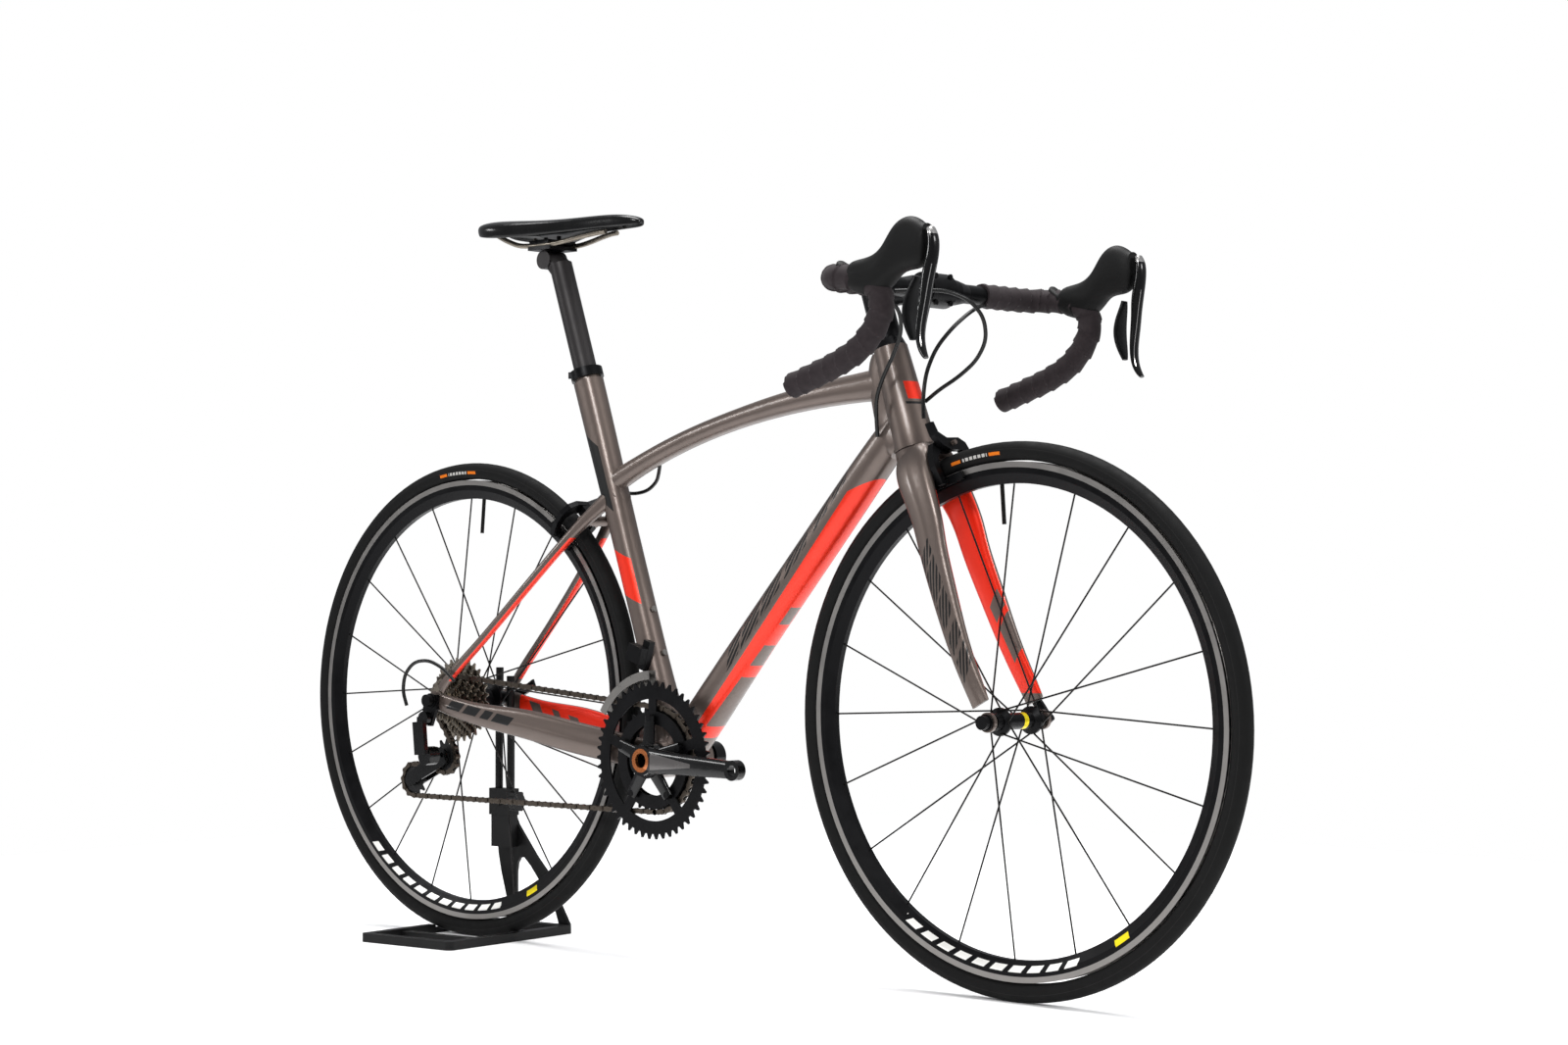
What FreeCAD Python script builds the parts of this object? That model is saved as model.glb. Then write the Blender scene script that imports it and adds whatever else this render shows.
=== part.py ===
import FreeCAD, Part
import Sketcher
import math
import os
import re
from FreeCAD import Placement, Rotation, Vector

# A road bicycle held upright by a small floor stand. Millimetres, +X forward, +Y to the rider's
# left, +Z up. The origin lies on the floor, midway between the axles, in the frame's middle plane.
# Along the bicycle, places are given from the rear axle, and spot() moves them to the origin.

doc = FreeCAD.newDocument("BicycleOnStand")
sheet = doc.addObject("Spreadsheet::Sheet", "dims")

dimensions = {
    # wheels
    "wheelbase": 974,
    "tyreRadius": 334.5,
    "tyreHalf": 12.5,
    "tyreWall": 2.2,
    "rimOuter": 311,
    "rimInner": 284,
    "rimHalf": 10.2,
    "spokeRadius": 1.1,
    "spokeCount": 20,
    "axleRadius": 5,
    "frontFlange": 17,
    "rearFlange": 24,
    "frontDropout": 50,
    "rearDropout": 65,
    # frame
    "bracketX": 410,
    "bracketZ": 267,
    "shellHalf": 43,
    "shellRadius": 24,
    "seatTopX": 232,
    "seatTopZ": 790,
    "headAngle": 72,
    "forkOffset": 45,
    "headLowZ": 664,
    "headTopZ": 790,
    "headLowRadius": 27,
    "headTopRadius": 21.5,
    "headBore": 18.5,
    "steererRadius": 14.3,
    "wall": 1.8,
    "postRadius": 15.8,
    "postTopZ": 938,
    # cockpit
    "stemZ": 858,
    "barX": 847,
    "barClamp": 15.9,
    "barRadius": 11.9,
    "tapeRadius": 15.2,
    "hoodY": 201,
    # drivetrain
    "pitch": 12.7,
    "chainY": 41.2,
    "bigRingY": 48,
    "cogSpacing": 3.95,
    "crankLength": 172.5,
    "smallRingTeeth": 34,
    "bigRingTeeth": 50,
    "driveCogTeeth": 17,
    "pulleyTeeth": 11,
    "upperPulleyX": -8,
    "upperPulleyZ": 254,
    "lowerPulleyX": -76,
    "lowerPulleyZ": 219,
    # stand
    "standBar": 12,
    "armRadius": 5.5,
}


def fillSheet():
    for row, (name, value) in enumerate(dimensions.items(), start=1):
        sheet.set("A%d" % row, name)
        sheet.set("B%d" % row, str(value))
        sheet.setAlias("B%d" % row, name)
    doc.recompute()


fillSheet()


def size(name):
    return float(sheet.get(name))


def bound(text):
    def prefix(match):
        word = match.group(0)
        return "dims." + word if word in dimensions else word
    return re.sub(r"[A-Za-z_]\w*", prefix, str(text))


def number(text):
    value = sheet.evalExpression(bound(text))
    return float(getattr(value, "Value", value))


def spot(x, y, z):
    return Vector(x - size("wheelbase") / 2, y, z)


def turned(base, axis, roll=0):
    rotation = Rotation(Vector(0, 0, 1), Vector(*axis))
    return Placement(base, rotation.multiply(Rotation(Vector(0, 0, 1), roll)))


alongY = (0, 1, 0)
up = Vector(0, 0, 1)
leftward = Vector(0, 1, 0)
nodes = []


# ---- pieces of geometry -------------------------------------------------------------------

def cylinder(radius, length, base, axis=(0, 0, 1), middle=False):
    piece = doc.addObject("Part::Cylinder", "Cylinder")
    piece.setExpression("Radius", bound(radius))
    piece.setExpression("Height", bound(length))
    start = base - Vector(*axis).normalize() * number(length) / 2 if middle else base
    piece.Placement = turned(start, axis)
    return piece


def cone(low, high, length, base, axis=(0, 0, 1)):
    piece = doc.addObject("Part::Cone", "Cone")
    piece.setExpression("Radius1", bound(low))
    piece.setExpression("Radius2", bound(high))
    piece.setExpression("Height", bound(length))
    piece.Placement = turned(base, axis)
    return piece


def torus(major, minor, centre, axis=alongY):
    piece = doc.addObject("Part::Torus", "Torus")
    piece.setExpression("Radius1", bound(major))
    piece.setExpression("Radius2", bound(minor))
    piece.Placement = turned(centre, axis)
    return piece


def block(length, width, height, centre, rotation=Rotation()):
    piece = doc.addObject("Part::Box", "Block")
    piece.setExpression("Length", bound(length))
    piece.setExpression("Width", bound(width))
    piece.setExpression("Height", bound(height))
    half = Vector(number(length), number(width), number(height)) / 2
    piece.Placement = Placement(centre - rotation.multVec(half), rotation)
    return piece


def cut(base, tool):
    piece = doc.addObject("Part::Cut", "Cut")
    piece.Base = base
    piece.Tool = tool
    return piece


def fuse(*pieces):
    piece = doc.addObject("Part::MultiFuse", "Fuse")
    piece.Shapes = list(pieces)
    return piece


def group(*pieces):
    piece = doc.addObject("Part::Compound", "Group")
    piece.Links = list(pieces)
    return piece


def tube(outer, inner, length, base, axis=(0, 0, 1), middle=False):
    return cut(cylinder(outer, length, base, axis, middle),
               cylinder(inner, length, base, axis, middle))


def made(shape):
    piece = doc.addObject("Part::Feature", "Shaped")
    piece.Shape = shape
    return piece


def keep(label, piece):
    piece.Label = label
    nodes.append(piece)
    return piece


# A closed sketch on one of a body's own planes. Every corner is held by two expressions.
def polygonSketch(body, role, corners):
    sketch = body.newObject("Sketcher::SketchObject", "Profile")
    plane = [one for one in body.Origin.OriginFeatures if one.Role == role][0]
    sketch.AttachmentSupport = [(plane, "")]
    sketch.MapMode = "FlatFace"
    values = [Vector(number(x), number(y), 0) for x, y in corners]
    count = len(corners)
    for index in range(count):
        sketch.addGeometry(Part.LineSegment(values[index], values[(index + 1) % count]), False)
    for index, (x, y) in enumerate(corners):
        sketch.addConstraint(Sketcher.Constraint("Coincident", index, 2, (index + 1) % count, 1))
        for kind, text, value in (("DistanceX", x, values[index].x), ("DistanceY", y, values[index].y)):
            place = sketch.addConstraint(Sketcher.Constraint(kind, -1, 1, index, 1, value))
            sketch.setExpression("Constraints[%d]" % place, bound(text))
    return sketch




# A profile of radius and offset, turned once about the wheel's own axis.
def revolved(corners, centre, axis=alongY):
    body = doc.addObject("PartDesign::Body", "Turned")
    sketch = polygonSketch(body, "XZ_Plane", corners)
    feature = body.newObject("PartDesign::Revolution", "Revolution")
    feature.Profile = sketch
    feature.ReferenceAxis = (sketch, ["V_Axis"])
    feature.Angle = 360
    body.Placement = turned(centre, axis)
    return body


# An outline in the XZ plane, padded across, with the given middle.
# A closed section: side is its half width, depth its half height, power rounds it.
def section(centre, direction, side, depth, power=2.0, across=leftward, points=12):
    direction = Vector(direction).normalize()
    upward = direction.cross(across).normalize()
    ring = []
    for index in range(points):
        angle = 2 * math.pi * index / points
        c, s = math.cos(angle), math.sin(angle)
        x = side * math.copysign(abs(c) ** (2 / power), c)
        y = depth * math.copysign(abs(s) ** (2 / power), s)
        ring.append(centre + across * x + upward * y)
    curve = Part.BSplineCurve()
    curve.interpolate(ring, PeriodicFlag=True)
    return Part.Wire(curve.toShape())


# A body through sections given as (centre, half width, half depth), each square to its path.
def lofted(stations, shrink=0.0, power=2.4, ruled=False):
    wires = []
    for index, (centre, side, depth) in enumerate(stations):
        before = stations[max(index - 1, 0)][0]
        after = stations[min(index + 1, len(stations) - 1)][0]
        run = after - before
        direction = Vector(run.x, 0, run.z)
        wires.append(section(centre, direction, side - shrink, depth - shrink, power))
    return Part.makeLoft(wires, True, ruled)


# Straight runs joined by tangent arcs, each as large as its two runs allow.
def routeWire(points, largest=1000.0):
    edges = []
    start = points[0]
    radii = []
    for index in range(1, len(points) - 1):
        here = points[index]
        back, on = points[index - 1] - here, points[index + 1] - here
        half = (math.pi - back.getAngle(on)) / 2
        radius = min(0.45 * min(back.Length, on.Length) / math.tan(half), largest)
        reach = radius * math.tan(half)
        first, last = here + Vector(back).normalize() * reach, here + Vector(on).normalize() * reach
        bisector = (Vector(back).normalize() + Vector(on).normalize()).normalize()
        middle = here + bisector * (radius / math.cos(half) - radius)
        edges.append(Part.LineSegment(start, first).toShape())
        edges.append(Part.Arc(first, middle, last).toShape())
        radii.append(radius)
        start = last
    edges.append(Part.LineSegment(start, points[-1]).toShape())
    return Part.Wire(edges), radii


def swept(points, radius, inner=0.0, largest=1000.0, name=""):
    wire, radii = routeWire(points, largest)
    direction = points[1] - points[0]

    def pipe(r):
        ring = Part.Wire(Part.Circle(points[0], direction, r).toShape())
        return wire.makePipeShell([ring], True, True)
    shape = pipe(radius)
    expected = math.pi * radius ** 2 * wire.Length
    if abs(shape.Volume / expected - 1) > 0.02:
        raise ValueError("sweep volume is off: " + name)
    if name:
        print(name, "length", round(wire.Length), "radii", [round(r) for r in radii])
    if inner:
        shape = shape.cut(pipe(inner))
    return shape


def mirrored(shape):
    return shape.mirror(Vector(0, 0, 0), Vector(0, 1, 0))


def bothSides(shape):
    return Part.makeCompound([shape, mirrored(shape)])


# ---- wheels ---------------------------------------------------------------------------------

frontHub = spot(size("wheelbase"), 0, size("tyreRadius"))
rearHub = spot(0, 0, size("tyreRadius"))


def tyre(label, hub):
    outer = torus("tyreRadius - tyreHalf", "tyreHalf", hub)
    inner = torus("tyreRadius - tyreHalf", "tyreHalf - tyreWall", hub)
    mouth = cylinder("rimOuter + 3.5", "2 * (rimHalf - 3.2)", hub, alongY, True)
    keep(label, cut(cut(outer, inner), mouth))


def rim(label, hub):
    corners = [
        ("rimInner", "-4"),
        ("rimInner + 12", "-rimHalf + 0.6"),
        ("rimOuter - 1", "-rimHalf"),
        ("rimOuter - 1", "-rimHalf + 1.4"),
        ("rimOuter - 7", "-rimHalf + 1.7"),
        ("rimOuter - 9", "0"),
        ("rimOuter - 7", "rimHalf - 1.7"),
        ("rimOuter - 1", "rimHalf - 1.4"),
        ("rimOuter - 1", "rimHalf"),
        ("rimInner + 12", "rimHalf - 0.6"),
        ("rimInner", "4"),
    ]
    keep(label, revolved(corners, hub))


# Spokes run from each flange to the rim, leaving the flange at a tangent, and the valve stands
# at the top of the rim with its stem towards the hub.
def spokes(label, hub, flange, leftFlange, rightFlange, valveLean):
    pieces = []
    count = int(size("spokeCount"))
    inner, outer = number(flange) - 2.2, size("rimInner") - 0.3
    for index in range(count):
        side = 1 if index % 2 else -1
        pair = index // 2
        around = 2 * math.pi * index / count
        twist = (0.9 if pair % 2 else -0.9)
        offset = leftFlange if side > 0 else -rightFlange
        start = hub + Vector(inner * math.sin(around + twist), offset + side * 2.7,
                             inner * math.cos(around + twist))
        end = hub + Vector(outer * math.sin(around), side * 1.5, outer * math.cos(around))
        run = end - start
        pieces.append(cylinder("spokeRadius", str(round(run.Length, 3)), start, tuple(run)))
    lean = math.radians(valveLean)
    towards = Vector(math.sin(lean), 0, math.cos(lean))
    stem = cylinder(2.6, 48, hub + towards * (size("rimInner") - 48.3), tuple(towards))
    keep(label, group(*pieces, stem))


def hubShell(label, hub, flange, leftFlange, rightFlange, leftEnd, rightEnd, waist):
    bore = "axleRadius + 0.08"
    corners = [
        (bore, -rightEnd),
        ("axleRadius + 5", -rightEnd),
        ("axleRadius + 6", -(rightFlange + 4)),
        (flange, -(rightFlange + 1.5)),
        (flange, -(rightFlange - 1.5)),
        (waist, -(rightFlange - 5)),
        (waist, leftFlange - 5),
        (flange, leftFlange - 1.5),
        (flange, leftFlange + 1.5),
        ("axleRadius + 6", leftFlange + 4),
        ("axleRadius + 5", leftEnd),
        (bore, leftEnd),
    ]
    corners = [(x, str(y)) for x, y in corners]
    keep(label, revolved(corners, hub))


# An axle between the dropouts with its locknuts, the skewer rod through it and the nut on the
# right-hand end. outside is where that nut's seat lies.
def axle(label, hub, dropout, leftNut, rightNut, outside):
    half = number(dropout)
    rod = cylinder("axleRadius", 2 * half, hub, alongY, True)
    left = cylinder(9, half - leftNut, hub + leftward * leftNut, alongY)
    right = cylinder(9, half - rightNut, hub - leftward * half, alongY)
    skewer = cylinder(2.4, outside + half + 5, hub - leftward * outside, alongY)
    nut = fuse(cylinder(8.5, 11, hub - leftward * (outside + 11), alongY),
               cylinder(10, 3, hub - leftward * (outside + 3), alongY))
    keep(label, fuse(rod, left, right, skewer, nut))


# The quick release lever turns about a pin in the round cam at the skewer's left-hand end.
def quickRelease(label, hub, camY, angle):
    centre = hub + leftward * camY
    along = Vector(math.cos(math.radians(angle)), 0, math.sin(math.radians(angle)))
    across = along.cross(leftward)
    outline = [(2, -4), (18, 0), (36, 0.6), (50, -1.5), (51, 1), (36, 4.4), (18, 5), (2, 4)]
    points = [centre + along * u + leftward * v - across * 6 for u, v in outline]
    blade = Part.Face(Part.makePolygon(points + points[:1])).extrude(across * 12)
    cam = Part.makeCylinder(6.6, 12.6, centre - across * 6.3, across)
    keep(label, made(cam.fuse(blade)))


def wheels():
    for name, hub in (("front", frontHub), ("rear", rearHub)):
        tyre(name + "_tyre", hub)
        rim(name + "_rim", hub)
    spokes("front_spokes", frontHub, "frontFlange", 30, 30, -4)
    spokes("rear_spokes", rearHub, "rearFlange", 34, 15, 5)
    hubShell("front_hub", frontHub, "frontFlange", 30, 30, 45, 45, 10)
    hubShell("rear_hub", rearHub, "rearFlange", 34, 15, 58, 19.8, 13)
    axle("front_axle", frontHub, "frontDropout", 45.2, 45.2, 55.0)
    axle("rear_axle", rearHub, "rearDropout", 58.2, 62.8, 76.0)
    quickRelease("front_quick_release", frontHub, 62.2, 130)
    quickRelease("rear_quick_release", rearHub, 77.6, 25)
    print("wheels made")


# ---- frame ----------------------------------------------------------------------------------

headAxis = Vector(-math.cos(math.radians(size("headAngle"))), 0,
                  math.sin(math.radians(size("headAngle"))))
headTuple = tuple(headAxis)


# The point of the steering axis at a height.
def onHead(height):
    crossing = size("wheelbase") - size("forkOffset") / math.sin(math.radians(size("headAngle")))
    lean = (height - size("tyreRadius")) / math.tan(math.radians(size("headAngle")))
    return spot(crossing - lean, 0, height)


bracket = spot(size("bracketX"), 0, size("bracketZ"))
seatTop = spot(size("seatTopX"), 0, size("seatTopZ"))
seatAxis = (seatTop - bracket).normalize()
seatTuple = tuple(seatAxis)


def alongSeat(height):
    return bracket + seatAxis * ((height - size("bracketZ")) / seatAxis.z)


topTubeRun = [
    (spot(288, 0, 634), 14, 15),
    (spot(350, 0, 661), 13.5, 13),
    (spot(423, 0, 687), 13.5, 12.6),
    (spot(513, 0, 711), 14, 12.8),
    (spot(599, 0, 728), 15, 14.5),
    (spot(690, 0, 740), 16, 17),
    (spot(788, 0, 748), 17, 22),
]
downTubeRun = [
    (spot(412, 0, 270), 31, 24),
    (spot(470, 0, 334), 27, 25.5),
    (spot(560, 0, 436), 24, 24.5),
    (spot(650, 0, 535), 23, 24),
    (spot(740, 0, 634), 22.5, 23),
    (spot(806, 0, 703), 20, 21),
]


# The lug fills the corner between the head tube, the top tube and the down tube: height, how
# far back its middle is, half width and half depth.
lugStations = [(668, 8, 22, 27), (688, 16, 21, 31), (712, 18, 18, 30), (736, 18, 18, 27),
               (760, 13, 18, 27), (782, 4, 18.5, 21)]


def frontTriangle():
    low, high = onHead(size("headLowZ")), onHead(size("headTopZ"))
    headLength = (high - low).Length
    head = Part.makeCone(size("headLowRadius"), size("headTopRadius"), headLength, low, headAxis)
    seatStations = [(275, 31, 23), (350, 20, 18.5), (450, 17.8, 17.8), (560, 17.8, 17.9),
                    (640, 18, 19), (700, 18.2, 20), (774, 18.6, 20.5)]
    seatRun = [(alongSeat(z), side, depth) for z, side, depth in seatStations]
    lug = lofted([(onHead(z) - Vector(back, 0, 0), side, depth) for z, back, side, depth in lugStations])
    collar = Part.makeCylinder(18.2, 18, seatTop - seatAxis * 18, seatAxis)
    shellHalf = size("shellHalf")
    shell = Part.makeCylinder(size("shellRadius"), 2 * shellHalf, bracket - leftward * shellHalf, leftward)
    pieces = [lofted(topTubeRun), lofted(downTubeRun), lofted(seatRun), lug, collar, shell]
    outer = head.multiFuse(pieces)
    wall = size("wall")
    hollows = [
        lofted(topTubeRun, wall),
        lofted(downTubeRun, wall),
        Part.makeCylinder(size("headBore"), headLength + 2, low - headAxis, headAxis),
        Part.makeCylinder(size("postRadius") + 0.07, 215, seatTop - seatAxis * 214, seatAxis),
        Part.makeCylinder(20.5, 2 * shellHalf + 2, bracket - leftward * (shellHalf + 1), leftward),
    ]
    shape = outer
    for hollow in hollows:
        shape = shape.cut(hollow)
    keep("front_triangle", made(shape))
    return outer


# The chainstays tuck in past the chainrings, so the outer faces clear both rings.
def chainstays(frontOuter):
    run = [
        (spot(4, 67.7, 333), 2.6, 12),
        (spot(30, 65.2, 327), 4.6, 13.5),
        (spot(90, 60, 316), 7, 16),
        (spot(170, 53, 306), 8, 20),
        (spot(250, 44, 292), 8, 21.5),
        (spot(296, 35.5, 284), 8, 21.5),
        (spot(337, 27.5, 277), 7.5, 21),
        (spot(400, 22, 268), 7.5, 20),
    ]
    left = lofted(run, power=3)
    pad = Part.makeCylinder(13, 5, spot(0, size("rearDropout") + 0.2, size("tyreRadius")), leftward)
    left = left.fuse(pad)
    hole = Part.makeCylinder(3, 20, spot(0, 60, size("tyreRadius")), leftward)
    seat = Part.makeCylinder(9.6, 65.1, rearHub, leftward)
    left = left.cut(hole).cut(seat).cut(frontOuter)
    keep("chainstays", made(bothSides(left)))
    return left


# The seatstays bow out round the tyre and join behind the seat tube, with a bridge that
# carries the rear brake.
def seatstays(frontOuter, chainstayOuter):
    run = [
        (spot(11, 67.6, 350), 2.4, 8),
        (spot(31, 65, 371), 4.5, 7),
        (spot(75, 58, 411), 5, 6.5),
        (spot(131, 50, 463), 5.5, 6.5),
        (spot(190, 40, 520), 5.5, 6.8),
        (spot(237, 29, 566), 6, 7.5),
        (spot(262, 20, 590), 7, 9),
        (spot(300, 8, 622), 8, 12),
    ]
    left = lofted(run, power=2.6).cut(frontOuter).cut(chainstayOuter)
    bridge = Part.makeCylinder(7, 56, spot(252, -28, 583), leftward)
    both = left.fuse(mirrored(left)).fuse(bridge)
    clear = Part.makeCylinder(3.05, 60, rearBrake["pivot"] - rearBrake["out"] * 35, rearBrake["out"])
    both = both.cut(clear)
    stays = made(both)
    bolt = cylinder(3, 47, rearBrake["pivot"] - rearBrake["out"] * 24, tuple(rearBrake["out"]))
    keep("seatstays", group(stays, bolt))


def frameFittings():
    low, high = onHead(size("headLowZ")), onHead(size("headTopZ"))
    keep("headset_bearings", group(
        tube("headBore - 0.05", "steererRadius + 0.06", 7, low + headAxis * 1.5, headTuple),
        tube("headBore - 0.05", "steererRadius + 0.06", 7, high - headAxis * 8.5, headTuple)))
    cups = []
    for side in (1, -1):
        axis = (0, side, 0)
        inner = tube(20.45, 12.06, 12, bracket + Vector(0, side * 31, 0), axis)
        lip = tube(22, 12.06, 3, bracket + Vector(0, side * 43.05, 0), axis)
        cups.append(fuse(inner, lip))
    keep("bottom_bracket", group(*cups))
    bolts = []
    places = [(alongSeat(458), Vector(seatAxis.z, 0, -seatAxis.x), 18.2),
              (alongSeat(400), Vector(seatAxis.z, 0, -seatAxis.x), 18.4)]
    downAxis = (downTubeRun[4][0] - downTubeRun[1][0]).normalize()
    upwards = Vector(-downAxis.z, 0, downAxis.x)
    for along in (130, 194):
        places.append((downTubeRun[1][0] + downAxis * along, upwards, 24.9))
    for centre, out, reach in places:
        bolts.append(cylinder(4.2, 3, centre + out * (reach + 0.6), tuple(out)))
    keep("bottle_bolts", group(*bolts))
    ring = tube(22.5, 18.25, 13, seatTop - seatAxis * 13.5, seatTuple)
    ear = block(9, 16, 9, seatTop - seatAxis * 7 - Vector(24, 0, 0))
    keep("seat_clamp", cut(fuse(ring, ear), cylinder(18.25, 40, seatTop - seatAxis * 30, seatTuple)))


# Each caliper turns about one bolt. down runs from the bolt to the pads, out is the bolt's
# own direction, away from the bicycle.
def brakeFrame(pivot, down, outward):
    return {"pivot": pivot, "down": down, "out": down.cross(leftward) * outward}


frontBrake = brakeFrame(spot(860, 0, 664), headAxis * -1, 1)
rearBrake = brakeFrame(spot(236.5, 0, 592.5), (rearHub - spot(236.5, 0, 592.5)).normalize(), -1)


# ---- fork and cockpit -----------------------------------------------------------------------

def fork():
    run = [
        (spot(826, 8, 664), 15, 20),
        (spot(834, 22, 646), 12, 27),
        (spot(846, 31, 622), 10, 26),
        (spot(863, 37, 590), 8.5, 23),
        (spot(880, 41, 543), 8, 20.5),
        (spot(899, 45, 493), 8, 18.5),
        (spot(923, 49, 435), 7, 16),
        (spot(945, 51.5, 390), 5.5, 14.5),
        (spot(963, 52.6, 356), 2.4, 13.5),
    ]
    hub = frontHub
    left = lofted(run, power=2.6)
    tip = Part.makeCylinder(12, 4.6, hub + leftward * (size("frontDropout") + 0.2), leftward)
    low = onHead(size("headLowZ"))
    above = Part.makeCylinder(70, 80, low - headAxis * 1.2, headAxis)
    left = left.cut(above).fuse(tip).cut(Part.makeCylinder(3, 20, hub + leftward * 45, leftward))
    crown = Part.makeCylinder(size("headLowRadius") - 0.5, 24, low - headAxis * 25.2, headAxis)
    reach = (onHead(size("stemZ") + 18) - low).Length
    steerer = Part.makeCylinder(size("steererRadius"), reach + 20, low - headAxis * 20, headAxis)
    steerer = steerer.cut(Part.makeCylinder(11.5, 260, low - headAxis * 1, headAxis))
    shape = left.multiFuse([mirrored(left), crown, steerer])
    well = Part.makeCylinder(size("tyreRadius") + 6, 42, hub - leftward * 21, leftward)
    clear = Part.makeCylinder(3.05, 60, frontBrake["pivot"] - frontBrake["out"] * 40, frontBrake["out"])
    shape = shape.cut(well).cut(clear)
    bolt = cylinder(3, 46, frontBrake["pivot"] - frontBrake["out"] * 22, tuple(frontBrake["out"]))
    keep("fork", group(made(shape), bolt))


def stemAndSpacers():
    top = onHead(size("headTopZ"))
    cover = cut(cone(21, 17.6, 11, top + headAxis * 0.4, headTuple),
                cylinder("steererRadius + 0.03", 12, top, headTuple))
    rings = []
    for index in range(4):
        rings.append(tube(17.3, "steererRadius + 0.03", 9.2, top + headAxis * (11.6 + 9.4 * index), headTuple))
    clampLow = onHead(size("stemZ") - 19.5)
    cap = cylinder(16.5, 4, clampLow + headAxis * 41.6, headTuple)
    keep("headset_spacers", group(cover, *rings, cap))
    axis = onHead(size("stemZ"))
    centre = spot(size("barX"), 0, size("stemZ"))
    quill = Part.makeCylinder(19, 41, clampLow, headAxis)
    run = [(axis, 17, 17), (axis + Vector(30, 0, 0), 15.5, 15), (centre - Vector(18, 0, 0), 18, 15.5)]
    clamp = Part.makeCylinder(21.5, 44, centre - leftward * 22, leftward)
    body = quill.multiFuse([lofted(run), clamp])
    body = body.cut(Part.makeCylinder(size("steererRadius") + 0.03, 60, clampLow - headAxis * 5, headAxis))
    body = body.cut(Part.makeCylinder(size("barClamp") + 0.03, 50, centre - leftward * 25, leftward))
    front = Part.makeBox(60, 60, 60, centre + Vector(0.6, -30, -30))
    gap = Part.makeBox(62, 60, 60, centre + Vector(-0.6, -30, -30))
    bolts = []
    for side in (-14, 14):
        for rise in (-16.5, 16.5):
            bolts.append(cylinder(3.4, 3, centre + Vector(14.6, side, rise), (1, 0, 0)))
    faceplate = cut(made(body.common(front)), fuse(*bolts))
    keep("stem", group(made(body.cut(gap)), faceplate, *bolts))


barSide = [
    spot(847, 58, 858), spot(847, 155, 858), spot(850, 186, 858),
    spot(864, 203, 858), spot(892, 205, 856), spot(918, 203, 850), spot(935, 202, 836),
    spot(937, 201, 816), spot(926, 201, 794), spot(904, 201, 772), spot(872, 201, 757),
    spot(836, 201, 745), spot(800, 201, 734),
]
tapeSide = [spot(847, 92, 858)] + barSide[1:]


def bars():
    centre = spot(size("barX"), 0, size("stemZ"))
    middle = Part.makeCylinder(size("barClamp"), 80, centre - leftward * 40, leftward)
    taper = Part.makeCone(size("barClamp"), size("barRadius"), 20, centre + leftward * 40, leftward)
    side = swept(barSide, size("barRadius"), name="handlebar side")
    shape = middle.multiFuse([taper, mirrored(taper), side, mirrored(side)])
    keep("handlebar", made(shape))
    wrap = swept(tapeSide, size("tapeRadius"), size("barRadius") + 0.04)
    plug = Part.makeCylinder(size("tapeRadius"), 3, tapeSide[-1], tapeSide[-1] - tapeSide[-2])
    keep("bar_tape", made(Part.makeCompound([wrap, plug, mirrored(wrap), mirrored(plug)])))
    return swept(tapeSide, size("tapeRadius") + 0.05)


leverRun = [
    (spot(1010, 202, 904), 6, 4),
    (spot(1014, 202, 892), 8, 5),
    (spot(1013, 202, 874), 8.5, 6),
    (spot(1009, 203, 856), 9, 6.5),
    (spot(1006, 204, 834), 9, 5),
    (spot(1002, 206, 806), 8.5, 4),
    (spot(1000, 208, 780), 7.5, 3.4),
    (spot(1004, 209, 764), 6.5, 3),
    (spot(1010, 210, 755), 4, 2.2),
]
paddleRun = [
    (spot(989, 202, 850), 5, 3),
    (spot(985, 203, 834), 10, 3),
    (spot(981, 204, 812), 13.5, 3),
    (spot(983, 205, 793), 11.5, 2.8),
    (spot(987, 206, 777), 5, 2.2),
]
leverPivot = spot(1001, 202, 876)
leverPull = 18


def hoods(tapeOuter):
    run = [
        (spot(877, 204, 869), 10, 7),
        (spot(898, 204, 855), 15, 17),
        (spot(925, 203, 855), 16.5, 23),
        (spot(949, 202, 868), 17, 26),
        (spot(966, 201, 885), 16.5, 30),
        (spot(981, 200, 889), 15.5, 31),
        (spot(995, 200, 888), 14, 27),
        (spot(1005, 200, 896), 11, 14),
    ]
    wires = [section(c, Vector(1, 0, 0.05), side, depth, 2.4) for c, side, depth in run]
    left = Part.makeLoft(wires, True, False).cut(tapeOuter)
    moving = lofted(leverRun, -0.6, power=2.2).fuse(lofted(paddleRun, -0.6, power=2.2))
    for step in range(4):
        swung = moving.copy()
        swung.rotate(leverPivot, leftward, leverPull * step / 3)
        left = left.cut(swung)
    solids = sorted(left.Solids, key=lambda one: one.Volume)
    keep("brake_hoods", made(bothSides(solids[-1])))


def levers():
    for side, flip in (("left", False), ("right", True)):
        for name, run in (("brake_lever", leverRun), ("shift_paddle", paddleRun)):
            shape = lofted(run, power=2.2)
            keep("%s_%s" % (side, name), made(mirrored(shape) if flip else shape))


# ---- saddle and seatpost --------------------------------------------------------------------

railZ = 962


def seatpost():
    low = seatTop - seatAxis * 120
    high = alongSeat(size("postTopZ"))
    shaft = Part.makeCylinder(size("postRadius"), (high - low).Length, low, seatAxis)
    shaft = shaft.cut(Part.makeCylinder(13.2, (high - low).Length - 20, low - seatAxis, seatAxis))
    yoke = Part.makeCylinder(13, 34, spot(164, -17, 945), leftward)
    neck = lofted([(alongSeat(930), 15, 15), (spot(174, 0, 940), 15, 14), (spot(160, 0, 948), 15, 11)])
    keep("seatpost", made(shaft.multiFuse([neck, yoke])))


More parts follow.
